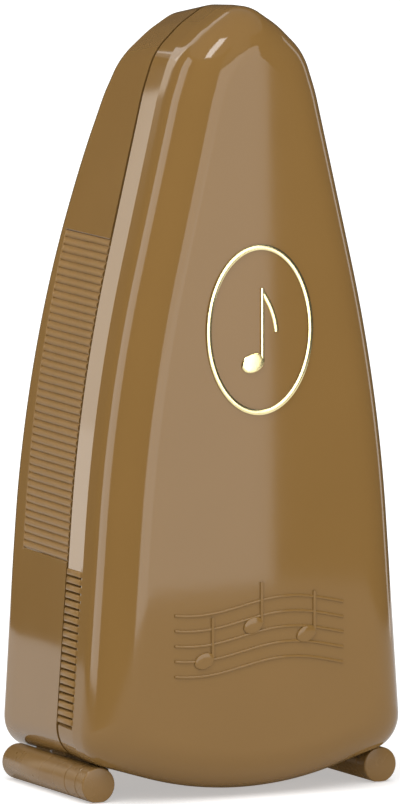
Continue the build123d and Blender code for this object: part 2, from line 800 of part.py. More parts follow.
def make_pallet_anchor():
    """Two pallets that dip in turn between the teeth of the escape wheel."""
    anchor = Pos(0, pivot_z) * Circle(anchor_hub_radius)
    tip_reach = escape_radius + pallet_gap
    for side in (-1, 1):
        angle = -math.pi / 2 + side * pallet_half_span
        tip = polar(tip_reach, angle, escape_axis_z)
        root = polar(tip_reach + pallet_length, angle, escape_axis_z)
        elbow = polar(tip_reach + pallet_length - anchor_arm_width / 2, angle, escape_axis_z)
        anchor += bar_between(tip, root, pallet_width)
        anchor += bar_between((0, pivot_z), elbow, anchor_arm_width)
    front_y = escape_wheel_front_y - pallet_overhang
    return slab(anchor, front_y, escape_wheel_back_y + pallet_overhang) - pressed_bore()


def make_bob_arm():
    arm = Pos(0, (arm_low_z + pivot_z) / 2) * Rectangle(arm_width, pivot_z - arm_low_z)
    arm += Pos(0, pivot_z) * Circle(arm_eye_radius)
    return slab(arm, arm_front_y, arm_back_y) - pressed_bore()


def make_lower_weight():
    bob = disc(bob_radius, bob_front_y, bob_back_y, 0, bob_z)
    bob = chamfer(bob.edges().filter_by(GeomType.CIRCLE), bob_edge)
    half_slot = arm_width / 2 + fixed_clearance
    slot_front_y = arm_front_y - fixed_clearance
    slot_back_y = arm_back_y + fixed_clearance
    return bob - block(
        -half_slot, half_slot, slot_front_y, slot_back_y, arm_low_z - fixed_clearance, pivot_z
    )


# ---------------------------------------------------------------- movement frame
def plate(half_width, pillar_hole, y_low, y_high):
    """Movement plate with the holes that both plates have."""
    height = plate_high_z - plate_low_z
    drawing = RectangleRounded(2 * half_width, height, plate_corner_radius)
    piece = slab(Pos(0, plate_low_z + height / 2) * drawing, y_low, y_high)
    for x, z in pillar_places():
        piece -= bore(pillar_hole, x, z)
    piece -= bore(winding_bush_radius + fixed_clearance, 0, barrel_axis_z)
    piece -= bore(train_arbor_radius + running_clearance, middle_x, middle_z)
    return piece - bore(train_arbor_radius + running_clearance, 0, escape_axis_z)


def make_front_plate():
    piece = plate(front_plate_half_width, m2_radius + thread_clearance, front_plate_y, plates_inner_y)
    for x, z in movement_screw_places():
        piece -= bore(m2_radius + thread_clearance, x, z)
    return piece - bore(arbor_radius + running_clearance, 0, pivot_z)


def make_rear_plate():
    piece = plate(rear_plate_half_width, rivet_radius + fixed_clearance, rear_plate_y, rear_plate_back_y)
    return piece - bore(stud_radius + fixed_clearance, click_pivot_x, click_pivot_z)


def make_pillars():
    pillars = []
    for x, z in pillar_places():
        post = disc(pillar_radius, plates_inner_y, rear_plate_y, x, z)
        post += disc(rivet_radius, rear_plate_y, rear_plate_back_y, x, z)
        hole_end_y = front_plate_y + m2_length + tip_clearance
        pillars.append(post - disc(m2_radius + thread_clearance, front_plate_y, hole_end_y, x, z))
    return pillars


def make_plate_bushes():
    bushes = []
    for y_low, y_high in ((front_plate_y, plates_inner_y), (rear_plate_y, rear_plate_back_y)):
        ring = disc(winding_bush_radius, y_low, y_high, 0, barrel_axis_z)
        bushes.append(ring - bore(winding_pivot_radius + running_clearance, 0, barrel_axis_z))
    return bushes


# ---------------------------------------------------------------- winding work
def make_winding_arbor():
    shoulder_front_y = plates_inner_y + winding_shoulder_gap
    shoulder_back_y = ratchet_back_y + barrel_clearance
    front_y = front_plate_y + arbor_end_gap
    back_y = rear_y - key_recess - key_cap
    arbor = disc(winding_arbor_radius, shoulder_front_y, shoulder_back_y, 0, barrel_axis_z)
    return arbor + disc(winding_pivot_radius, front_y, back_y, 0, barrel_axis_z)


def make_winding_key():
    front_y = dish_floor_y + key_floor_gap
    back_y = rear_y - key_recess
    hub = disc(key_hub_radius, front_y, back_y - key_hub_step, 0, barrel_axis_z)
    bar = slab(Pos(0, barrel_axis_z) * SlotOverall(key_width, key_bar), front_y + key_bar_step, back_y)
    bar = fillet(bar.faces().sort_by(Axis.Y)[-1].edges(), key_edge_radius)
    hole = disc(winding_pivot_radius + fixed_clearance, 0, back_y - key_cap, 0, barrel_axis_z)
    return hub + bar - hole


def make_ratchet_wheel():
    step = 2 * math.pi / ratchet_teeth
    points = []
    for tooth in range(ratchet_teeth):
        points.append(polar(ratchet_radius - ratchet_tooth_depth, tooth * step, barrel_axis_z))
        points.append(polar(ratchet_radius, tooth * step, barrel_axis_z))
    wheel = slab(make_face(Polyline(*points, close=True)), ratchet_y, ratchet_back_y)
    return wheel - bore(winding_arbor_radius + fixed_clearance, 0, barrel_axis_z)


def make_click():
    """Pawl whose beak stands in a gap of the ratchet wheel."""
    step = 2 * math.pi / ratchet_teeth
    tooth_face = math.pi
    tip_radius = ratchet_radius - ratchet_tooth_depth + click_clearance
    beak_radius = ratchet_radius + click_beak_height
    tip = polar(tip_radius, tooth_face - 0.20 * step, barrel_axis_z)
    heel = polar(beak_radius, tooth_face - 0.16 * step, barrel_axis_z)
    back = polar(beak_radius, tooth_face - 1.25 * step, barrel_axis_z)
    arm_end = ((heel[0] + back[0]) / 2, (heel[1] + back[1]) / 2)
    drawing = make_face(Polyline(tip, heel, back, close=True))
    drawing += bar_between((click_pivot_x, click_pivot_z), arm_end, click_arm_width)
    drawing += Pos(click_pivot_x, click_pivot_z) * Circle(stud_radius + click_eye_wall)
    return slab(drawing, ratchet_y, ratchet_back_y) - bore(
        stud_radius + running_clearance, click_pivot_x, click_pivot_z
    )


def make_click_stud():
    head_back_y = ratchet_y - running_clearance
    head_front_y = head_back_y - stud_head_thickness
    stud = disc(stud_radius, head_front_y, rear_plate_back_y, click_pivot_x, click_pivot_z)
    head_radius = stud_radius + stud_head_overhang
    return stud + disc(head_radius, head_front_y, head_back_y, click_pivot_x, click_pivot_z)


def make_click_spring():
    """Coil around the click's stud."""
    inner = stud_radius + coil_gap
    front_y = ratchet_back_y + coil_face_gap
    coil = disc(inner + coil_wall, front_y, rear_plate_y - spring_face_gap, click_pivot_x, click_pivot_z)
    return coil - bore(inner, click_pivot_x, click_pivot_z)


def make_spring_barrel():
    """Great wheel and spring drum in one piece."""
    teeth = Pos(0, barrel_axis_z) * gear_outline(barrel_teeth, barrel_module)
    barrel = slab(teeth, great_wheel_y, great_wheel_back_y)
    barrel += disc(drum_radius, great_wheel_y, barrel_back_y, 0, barrel_axis_z)
    barrel -= disc(drum_radius - barrel_wall, great_wheel_back_y, rear_y, 0, barrel_axis_z)
    return barrel - bore(winding_arbor_radius + running_clearance, 0, barrel_axis_z)


def make_barrel_cover():
    radius = drum_radius - barrel_wall - fixed_clearance
    lid = disc(radius, barrel_back_y - barrel_wall, barrel_back_y, 0, barrel_axis_z)
    return lid - bore(winding_arbor_radius + running_clearance, 0, barrel_axis_z)


def make_mainspring():
    """Spiral strip made of half turns that each start where the last one ended."""
    start = winding_arbor_radius + mainspring_gap
    end = drum_radius - barrel_wall - mainspring_rim_gap
    growth = (end - start - mainspring_strip) / (2 * mainspring_turns)
    inner_edges = []
    outer_edges = []
    for half in range(2 * mainspring_turns):
        side = 1 if half % 2 == 0 else -1
        centre = -side * growth / 2
        for edges, extra in ((inner_edges, 0.0), (outer_edges, mainspring_strip)):
            radius = start + growth * (half + 0.5) + extra
            first = (centre + side * radius, 0)
            last = (centre - side * radius, 0)
            edges.append(ThreePointArc(first, (centre, side * radius), last))
    inner_end = Line(outer_edges[0] @ 0, inner_edges[0] @ 0)
    outer_end = Line(inner_edges[-1] @ 1, outer_edges[-1] @ 1)
    face = make_face(inner_edges + [outer_end] + outer_edges + [inner_end])
    front_y = great_wheel_back_y + mainspring_face_gap
    back_y = barrel_back_y - barrel_wall - mainspring_face_gap
    return slab(Pos(0, barrel_axis_z) * face, front_y, back_y)


# ---------------------------------------------------------------- going train
def train_arbor(front_y, x, z):
    """Plain arbor that ends inside the rear plate."""
    return disc(train_arbor_radius, front_y, rear_plate_back_y - train_arbor_end_gap, x, z)


def make_middle_arbor():
    """Arbor and pinion in one piece; the pinion meshes with the great wheel."""
    turn = mesh_turn(middle_pinion_teeth, barrel_teeth, math.atan2(middle_rise, middle_x), 0.0)
    pinion = Pos(middle_x, middle_z) * gear_outline(middle_pinion_teeth, barrel_module, turn)
    pinion_front_y = great_wheel_y - pinion_overhang / 2
    pinion_back_y = great_wheel_back_y + pinion_overhang
    arbor = train_arbor(front_plate_y + train_arbor_end_gap, middle_x, middle_z)
    return arbor + slab(pinion, pinion_front_y, pinion_back_y)


def make_middle_wheel():
    wheel = gear_outline(middle_teeth, middle_module)
    wheel = spoked(wheel, middle_pitch_radius - gear_dedendum * middle_module - wheel_rim)
    wheel -= Circle(train_arbor_radius + fixed_clearance)
    return slab(Pos(middle_x, middle_z) * wheel, middle_wheel_y, middle_wheel_y + wheel_thickness)


def make_escape_arbor():
    """Arbor and pinion in one piece; the pinion meshes with the middle wheel."""
    direction = math.atan2(escape_axis_z - middle_z, -middle_x)
    turn = mesh_turn(escape_pinion_teeth, middle_teeth, direction, 0.0)
    pinion = Pos(0, escape_axis_z) * gear_outline(escape_pinion_teeth, middle_module, turn)
    pinion_front_y = middle_wheel_y - pinion_overhang
    pinion_back_y = middle_wheel_y + wheel_thickness + pinion_overhang
    arbor = train_arbor(escape_wheel_front_y - escape_arbor_reach, 0, escape_axis_z)
    return arbor + slab(pinion, pinion_front_y, pinion_back_y)


def make_escape_wheel():
    root_radius = escape_radius - escape_tooth_depth
    step = 2 * math.pi / escape_teeth
    turn = -math.pi / 2 + pallet_half_span + 0.25 * step
    half_tooth = [(root_radius, 0.16), (escape_radius, 0.03)]
    points = []
    for tooth in range(escape_teeth):
        for radius, share in half_tooth:
            points.append(polar(radius, turn + (tooth - share) * step))
        for radius, share in reversed(half_tooth):
            points.append(polar(radius, turn + (tooth + share) * step))
    wheel = make_face(Polyline(*points, close=True))
    wheel = spoked(wheel, root_radius - wheel_rim)
    wheel -= Circle(train_arbor_radius + fixed_clearance)
    return slab(Pos(0, escape_axis_z) * wheel, escape_wheel_front_y, escape_wheel_back_y)


# ---------------------------------------------------------------- all nodes
right_foot = make_foot()

save("rear_case", make_rear_case())
save("front_cover", make_front_cover())
save("cover_badge", *make_badge())
save("foot_right", right_foot)
save("foot_left", mirrored(right_foot))
save("foot_screws", *make_foot_screws())
save("front_panel", make_front_panel())
save("panel_screws", *[m2_screw(x, z, panel_front_y) for x, z in panel_screw_places()])
save("scale_plate", make_scale_plate())
save("park_clip", make_park_clip())
save("park_clip_screw", make_park_clip_screw())
save("panel_bush", make_panel_bush())

save("pendulum_arbor", make_pendulum_arbor())
save("pendulum_hub", make_pendulum_hub())
save("pendulum_nut", make_pendulum_nut())
save("pendulum_rod", make_pendulum_rod())
save("sliding_weight", make_sliding_weight())
save("weight_spring", make_weight_spring())
save("pallet_anchor", make_pallet_anchor())
save("bob_arm", make_bob_arm())
save("lower_weight", make_lower_weight())

save("movement_front_plate", make_front_plate())
save("movement_rear_plate", make_rear_plate())
save("plate_pillars", *make_pillars())
save("plate_screws", *[m2_screw(x, z, front_plate_y) for x, z in pillar_places()])
save("plate_bushes", *make_plate_bushes())
save("movement_screws", *[m2_screw(x, z, front_plate_y) for x, z in movement_screw_places()])

save("winding_key", make_winding_key())
save("winding_arbor", make_winding_arbor())
save("ratchet_wheel", make_ratchet_wheel())
save("click", make_click())
save("click_stud", make_click_stud())
save("click_spring", make_click_spring())
save("spring_barrel", make_spring_barrel())
save("barrel_cover", make_barrel_cover())
save("mainspring", make_mainspring())

save("middle_arbor", make_middle_arbor())
save("middle_wheel", make_middle_wheel())
save("escape_arbor", make_escape_arbor())
save("escape_wheel", make_escape_wheel())
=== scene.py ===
import json
import math

import bpy
import numpy as np
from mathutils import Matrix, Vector


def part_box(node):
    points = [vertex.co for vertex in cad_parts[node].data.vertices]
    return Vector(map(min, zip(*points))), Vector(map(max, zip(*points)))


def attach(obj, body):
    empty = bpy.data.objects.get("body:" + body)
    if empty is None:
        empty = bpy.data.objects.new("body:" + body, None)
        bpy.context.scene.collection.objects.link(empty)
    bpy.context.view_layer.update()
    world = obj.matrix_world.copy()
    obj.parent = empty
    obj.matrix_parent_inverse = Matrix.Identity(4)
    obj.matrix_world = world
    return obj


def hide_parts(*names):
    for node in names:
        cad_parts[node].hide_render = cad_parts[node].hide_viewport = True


# The look of the wind-up metronome. Lengths in this file are in millimetres until a mesh is made.
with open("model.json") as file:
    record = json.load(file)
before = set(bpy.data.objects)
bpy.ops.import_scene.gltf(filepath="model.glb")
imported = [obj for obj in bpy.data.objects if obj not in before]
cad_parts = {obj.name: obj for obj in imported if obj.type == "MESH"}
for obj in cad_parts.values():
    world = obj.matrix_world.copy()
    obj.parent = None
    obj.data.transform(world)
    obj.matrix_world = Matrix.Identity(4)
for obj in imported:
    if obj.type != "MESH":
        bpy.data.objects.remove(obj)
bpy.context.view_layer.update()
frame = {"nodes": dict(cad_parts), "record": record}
MM = 0.001

# ---------------------------------------------------------------- sizes that come from the CAD model
PARTING_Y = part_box("front_panel")[0].y / MM
COVER_REAR_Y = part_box("front_cover")[1].y / MM
REAR_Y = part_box("rear_case")[1].y / MM
FOOT_X = (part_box("foot_right")[0].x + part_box("foot_right")[1].x) / 2 / MM
FOOT_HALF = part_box("foot_right")[1].y / MM
SCALE_LOW, SCALE_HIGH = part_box("scale_plate")
KEY_Z = (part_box("winding_key")[0].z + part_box("winding_key")[1].z) / 2 / MM
KEY_FRONT_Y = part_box("winding_key")[0].y / MM

# ---------------------------------------------------------------- body outline
KEEL_R = 72.0
CORNERS = [(0.0, -1.86, KEEL_R), (35.6, 8.888, 7.0), (30.3, 82.1, 330.0), (15.9, 142.5, 40.0),
           (13.2, 150.5, 13.0), (7.5, 155.9, 20.0), (0.0, 160.8, 6.5)]
SHRINK = [1.0, 0.0, 1.0, 1.0, 0.0, 1.0, 0.5]      # how fast each corner's radius falls with the inset
ARC_STEPS = [14, 14, 0, 6, 10, 8, 12]
BASE_LINE_ROWS = 8                                # rows between the keel's arc and the base corner's
SIDE_START = ARC_STEPS[0] + 1 + BASE_LINE_ROWS + ARC_STEPS[1] + 1      # first row of the long side
SIDE_LOW, SIDE_HIGH = 20.0, 135.0
CASE_DRAFT = math.radians(4.6)
CASE_LEAN = math.tan(CASE_DRAFT)
COVER_LEAN = math.tan(math.radians(2.7))
RIB_LOW, RIB_HIGH, RIB_PITCH, RIB_DEPTH = 47.5, 112.6, 1.55, 0.55
RIB_END_Y = 19.0
RIB_ROUND = 0.985          # share of the half circle's width that a rib's section takes


def offset_corners(inset):
    """Right-hand corners of the outline with its sides moved inwards."""
    points = [(x, z) for x, z, r in CORNERS]
    points = [(-points[1][0], points[1][1])] + points + [(-points[-2][0], points[-2][1])]
    lines = []
    for (x0, z0), (x1, z1) in zip(points, points[1:]):
        length = math.hypot(x1 - x0, z1 - z0)
        a, b = (z1 - z0) / length, -(x1 - x0) / length
        lines.append((a, b, a * x0 + b * z0 - inset))
    corners = []
    for (a, b, c), (d, e, f) in zip(lines, lines[1:]):
        scale = a * e - b * d
        corners.append(((c * e - b * f) / scale, (a * f - c * d) / scale, (a, b), (d, e)))
    return corners


def outline(inset, side_z):
    """Right-hand half of the outline from keel to apex, as (x, z) rows, with as many rows at every inset."""
    corners = offset_corners(inset)
    arcs = []
    for index, ((x, z, n0, n1), (_, _, r)) in enumerate(zip(corners, CORNERS)):
        radius = max(r - SHRINK[index] * inset, 2.2)
        half = math.acos(max(-1.0, min(1.0, n0[0] * n1[0] + n0[1] * n1[1]))) / 2
        mid = (n0[0] + n1[0], n0[1] + n1[1])
        size = math.hypot(*mid)
        centre = (x - mid[0] / size * radius / math.cos(half), z - mid[1] / size * radius / math.cos(half))
        low, high = math.atan2(n0[1], n0[0]), math.atan2(n1[1], n1[0])
        if index == 0:
            low = -math.pi / 2
        if index == len(CORNERS) - 1:
            high = math.pi / 2
        arcs.append((centre, radius, low, high, x, z, n0, n1))
    rows = []

    def arc_point(arc, share):
        centre, radius, low, high = arc[:4]
        angle = low + (high - low) * share
        return (centre[0] + radius * math.cos(angle), centre[1] + radius * math.sin(angle))

    def line(start, end, count):
        for step in range(1, count + 1):
            share = step / (count + 1)
            rows.append((start[0] + (end[0] - start[0]) * share, start[1] + (end[1] - start[1]) * share))

    def arc(which, steps):
        for step in range(steps + 1):
            rows.append(arc_point(arcs[which], step / steps))

    waist = arcs[2]

    def side_x(z):
        centre, radius, low, high, x, cz, n0, n1 = waist
        start, end = arc_point(waist, 0)[1], arc_point(waist, 1)[1]
        if z < start:
            return (n0[0] * x + n0[1] * cz - n0[1] * z) / n0[0]
        if z > end:
            return (n1[0] * x + n1[1] * cz - n1[1] * z) / n1[0]
        return centre[0] + math.sqrt(radius**2 - (z - centre[1])**2)

    arc(0, ARC_STEPS[0])
    line(rows[-1], arc_point(arcs[1], 0), BASE_LINE_ROWS)
    arc(1, ARC_STEPS[1])
    low, first, last = max(side_z[0], rows[-1][1] + 0.1), side_z[0], side_z[-1]
    for z in side_z:
        z = low + (z - first) * (last - low) / (last - first)
        rows.append((side_x(z), z))
    line(rows[-1], arc_point(arcs[3], 0), 2)
    for which in (3, 4, 5, 6):
        arc(which, ARC_STEPS[which])
        if which < 6:
            line(rows[-1], arc_point(arcs[which + 1], 0), 3)
    return np.array(rows)


class Outlines:
    """Half outlines at many insets, read at any inset for each row."""

    def __init__(self, side_z, low=-1.0, high=12.0, step=0.1):
        self.low, self.step = low, step
        self.table = np.array([outline(low + step * i, side_z) for i in range(int((high - low) / step) + 1)])
        self.count = self.table.shape[1]

    def at(self, inset):
        inset = np.broadcast_to(np.asarray(inset, float), (self.count,))
        place = (inset - self.low) / self.step
        index = np.clip(np.floor(place).astype(int), 0, len(self.table) - 2)
        share = (place - index)[:, None]
        rows = np.arange(self.count)
        return self.table[index, rows] * (1 - share) + self.table[index + 1, rows] * share


# ---------------------------------------------------------------- mesh helpers
class Builder:
    """Collects points in millimetres and faces, then makes one object."""

    def __init__(self):
        self.points = []
        self.faces = []
        self.sharp = set()

    def add(self, points):
        start = len(self.points)
        self.points.extend(tuple(map(float, p)) for p in points)
        return list(range(start, len(self.points)))

    def strip(self, one, two, closed=True):
        count = len(one)
        for i in range(count if closed else count - 1):
            j = (i + 1) % count
            self.faces.append((one[i], one[j], two[j], two[i]))

    def crease(self, ring):
        for i in range(len(ring)):
            self.sharp.add(frozenset((ring[i], ring[(i + 1) % len(ring)])))

    def object(self, name):
        mesh = bpy.data.meshes.new(name)
        mesh.from_pydata([(x * MM, y * MM, z * MM) for x, y, z in self.points], [], self.faces)
        mesh.validate()
        mesh.update()
        mesh.polygons.foreach_set("use_smooth", [True] * len(mesh.polygons))
        if self.sharp:
            for edge in mesh.edges:
                if frozenset(edge.vertices) in self.sharp:
                    edge.use_edge_sharp = True
        piece = bpy.data.objects.new(name, mesh)
        bpy.context.scene.collection.objects.link(piece)
        return piece


WELD = 1e-8                # metres


def finish_mesh(piece, angle=None):
    """Welds doubles, makes the face directions agree and marks the edges sharper than the angle."""
    import bmesh
    work = bmesh.new()
    work.from_mesh(piece.data)
    bmesh.ops.remove_doubles(work, verts=work.verts, dist=WELD)
    bmesh.ops.recalc_face_normals(work, faces=work.faces)
    if angle is not None:
        for edge in work.edges:
            if len(edge.link_faces) == 2 and edge.calc_face_angle(0.0) > math.radians(angle):
                edge.smooth = False
        for face in work.faces:
            face.smooth = True
    work.to_mesh(piece.data)
    work.free()
    piece.data.update()


def full_ring(builder, half, y):
    """Adds a closed ring from a right-hand half outline; the left half mirrors it."""
    y = np.broadcast_to(np.asarray(y, float), (len(half),))
    right = [(x, yy, z) for (x, z), yy in zip(half, y)]
    right[0] = (0.0, right[0][1], right[0][2])
    right[-1] = (0.0, right[-1][1], right[-1][2])
    left = [(-x, yy, z) for x, yy, z in reversed(right[1:-1])]
    return builder.add(right + left)


def cap(builder, ring, half_count, columns, depth):
    """Closes a ring with rows that join its two sides; depth(x, z, y0) gives each point's y."""
    points = builder.points
    rows = []
    for i in range(1, half_count - 1):
        right, left = ring[i], ring[-i]
        (x0, y0, z0), (x1, y1, z1) = points[right], points[left]
        inner = []
        for c in range(1, columns):
            share = c / columns
            x = x0 + (x1 - x0) * share
            inner.append((x, depth(x, z0, y0), z0))
        rows.append([right] + builder.add(inner) + [left])
    for low, high in zip(rows, rows[1:]):
        builder.strip(low, high, closed=False)
    for end, row in ((ring[0], rows[0]), (ring[half_count - 1], rows[-1])):
        for one, two in zip(row, row[1:]):
            builder.faces.append((end, one, two))


# ---------------------------------------------------------------- cover
FRONT_EDGE_R = 9.0
FRONT_EDGE_Y = -18.1
CREASE_Y = -14.5
WIDEN = (PARTING_Y - CREASE_Y) * COVER_LEAN
DOME = 0.020


def smooth_step(t):
    t = np.clip(t, 0.0, 1.0)
    return t * t * (3 - 2 * t)


def half_width(z):
    """Half-width of the outline's long sides at any height, run on below the base."""
    return np.interp(z, [-40, 0, 60, 108, 142.5, 150.5, 160.6], [38.8, 36.2, 31.75, 24.1, 15.9, 13.2, 4.0])


def dome(x, z, y):
    """Forward bulge of the front of the cover."""
    wide = half_width(z)
    weight = smooth_step((FRONT_EDGE_Y - y) / FRONT_EDGE_R)
    return DOME * np.maximum(wide - x * x / wide, 0.0) * weight


def front_y(x, z):
    """Outer front surface of the cover."""
    flat = FRONT_EDGE_Y - FRONT_EDGE_R
    return flat - dome(x, z, flat)


COVER_RIB_LOW, COVER_RIB_PITCH, COVER_RIBS = 14.7, 1.58, 20
COVER_RIB_END_Y = -14.2
COVER_RIB_PROFILE = [(0.02, -0.6), (0.40, -0.6), (0.42, 0.16), (0.47, 0.27), (0.58, 0.33), (0.85, 0.345),
                     (1.15, 0.335), (1.38, 0.30), (1.50, 0.22), (1.56, 0.05)]      # (up from its foot, out)
COVER_RIB_TOP = COVER_RIB_LOW + COVER_RIB_PITCH * COVER_RIBS


def build_cover():
    """Cover shell with shingled finger ribs low on both flanks."""
    rib_z = []
    for index in range(COVER_RIBS):
        low = COVER_RIB_LOW + COVER_RIB_PITCH * index
        rib_z += [(low + dz, out) for dz, out in COVER_RIB_PROFILE]
    rib_z.append((COVER_RIB_TOP + 0.02, 0.0))
    side_z = [z for z, out in rib_z] + list(np.linspace(COVER_RIB_TOP + 1.0, SIDE_HIGH, 48))
    outlines = Outlines(side_z)
    half = outlines.count
    relief = np.zeros(half)
    relief[SIDE_START:SIDE_START + len(rib_z)] = [out for z, out in rib_z]
    b = Builder()

    def ring(inset, y, bulge=True, ribs=0.0, groove=1.0):
        out = np.where(relief < 0, relief * groove, relief) * ribs
        rows = outlines.at(inset - out)
        ys = np.full(half, y)
        if bulge:
            ys = ys - dome(rows[:, 0], rows[:, 1], ys)
        return full_ring(b, rows, ys)

    outer = []
    stations = [(COVER_REAR_Y, 0.8, 1.0), (COVER_REAR_Y - 0.12, 1.0, 1.0), (-10.5, 1.0, 1.0),
                (COVER_RIB_END_Y + 0.4, 1.0, 1.0), (COVER_RIB_END_Y + 0.15, 0.8, 0.8),
                (COVER_RIB_END_Y, 0.0, 0.0), (CREASE_Y, 0.0, 0.0)]
    for y, ribs, groove in stations:
        outer.append(ring(-(PARTING_Y - y) * COVER_LEAN, y, True, ribs, groove))
    crease = outer[-1]
    for y in (-15.7, -16.9, FRONT_EDGE_Y):
        outer.append(ring(-WIDEN, y))
    steps = 18
    for k in range(1, steps + 1):
        angle = math.radians(90) * k / steps
        inset = -WIDEN + FRONT_EDGE_R * (1 - math.cos(angle))
        outer.append(ring(inset, FRONT_EDGE_Y - FRONT_EDGE_R * math.sin(angle)))
    for one, two in zip(outer, outer[1:]):
        b.strip(one, two)
    cap(b, outer[-1], half, 26, lambda x, z, y0: front_y(x, z))
    b.crease(crease)

    wall, inner_r = 1.8, 6.8
    inner = [outer[0], ring(0.9, COVER_REAR_Y, False), ring(0.9, PARTING_Y - 2.8, False),
             ring(wall, PARTING_Y - 2.8, False), ring(wall, -14.0, False), ring(wall, -18.4, False)]
    for k in range(1, 11):
        angle = math.radians(90) * k / 10
        inner.append(ring(wall + inner_r * (1 - math.cos(angle)), -18.4 - inner_r * math.sin(angle)))
    for one, two in zip(inner, inner[1:]):
        b.strip(two, one)
    back = -18.4 - inner_r
    cap(b, inner[-1], half, 16, lambda x, z, y0: back - dome(x, z, back) * 0.9)
    for index in range(0, 4):
        b.crease(inner[index])
    piece = b.object("cover_shell")
    finish_mesh(piece)
    sharpen(piece, 42)
    loose_clean(piece)
    return piece


def sharpen(piece, angle):
    """Marks edges sharper than the angle so that shading breaks there."""
    import bmesh
    work = bmesh.new()
    work.from_mesh(piece.data)
    for edge in work.edges:
        if len(edge.link_faces) == 2 and edge.calc_face_angle(0.0) > math.radians(angle):
            edge.smooth = False
    work.to_mesh(piece.data)
    work.free()


def loose_clean(piece):
    """Drops points that no face uses and makes the face directions agree."""
    import bmesh
    work = bmesh.new()
    work.from_mesh(piece.data)
    stray = [v for v in work.verts if not v.link_faces]
    bmesh.ops.delete(work, geom=stray, context="VERTS")
    bmesh.ops.recalc_face_normals(work, faces=work.faces)
    work.to_mesh(piece.data)
    work.free()
    piece.data.update()


# ---------------------------------------------------------------- case
BASE_SAG = 0.55            # further fall of the underside below level, at its sides, in drafts
BASE_SAG_X = 33.0
ROOF_FALL = 0.9            # fall of the roof, in drafts
REAR_CORNER_R = 4.6
CASE_WALL = 2.4
LIP_STEP, LIP_LENGTH = 1.25, 2.5
LIP_BACK = 2.05            # inner face of the lip, clear of the tempo weight at the end of its travel
DISH_R = 17.55


def rear_profile(z):
    """Depth of the rear wall at height z."""
    heights = np.array([-20, 50, 72, 95, 110, 120, 130, 140, 147, 155, 168.0])
    depths = np.array([REAR_Y, REAR_Y, 27.15, 26.0, 24.8, 23.2, 20.8, 17.7, 14.9, 11.4, 5.4])
    slopes = np.zeros(len(heights))
    steps = np.diff(depths) / np.diff(heights)
    for i in range(1, len(heights) - 1):
        if steps[i - 1] * steps[i] > 0:
            slopes[i] = 2 * steps[i - 1] * steps[i] / (steps[i - 1] + steps[i])
    slopes[-1] = steps[-1]
    z = np.asarray(z, float)
    i = np.clip(np.searchsorted(heights, z) - 1, 0, len(heights) - 2)
    h = heights[i + 1] - heights[i]
    t = (z - heights[i]) / h
    return ((1 + 2 * t) * (1 - t)**2 * depths[i] + t * (1 - t)**2 * h * slopes[i]
            + t * t * (3 - 2 * t) * depths[i + 1] + t * t * (t - 1) * h * slopes[i + 1])


def roof_fall(z, y):
    """How far the roof of the case falls from the parting line to depth y."""
    return ROOF_FALL * (y - PARTING_Y) * CASE_LEAN * smooth_step((z - 128.0) / 26.0)


def level_base(rows, draft):
    """Takes the draft out of the underside, which runs level or falls to the back, and lets the roof fall."""
    share = 1 - smooth_step((rows[:, 1] - 13.0) / 32.0)
    sag = 1 + BASE_SAG * (rows[:, 0] / BASE_SAG_X)**2
    fall = roof_fall(rows[:, 1], PARTING_Y + draft / CASE_LEAN)
    return np.column_stack([rows[:, 0], rows[:, 1] - draft * share * sag - fall])


def rib_dip(z):
    """How far the finger grip lies below the side at height z: rounded ribs with narrow valleys."""
    phase = ((z - RIB_LOW) / RIB_PITCH) % 1.0
    u = np.abs(2 * phase - 1) * RIB_ROUND
    dip = (1 - np.sqrt(1 - u * u)) / (1 - math.sqrt(1 - RIB_ROUND**2)) * RIB_DEPTH
    return np.where((z >= RIB_LOW - 1e-6) & (z <= RIB_HIGH + 1e-6), dip, 0.0)


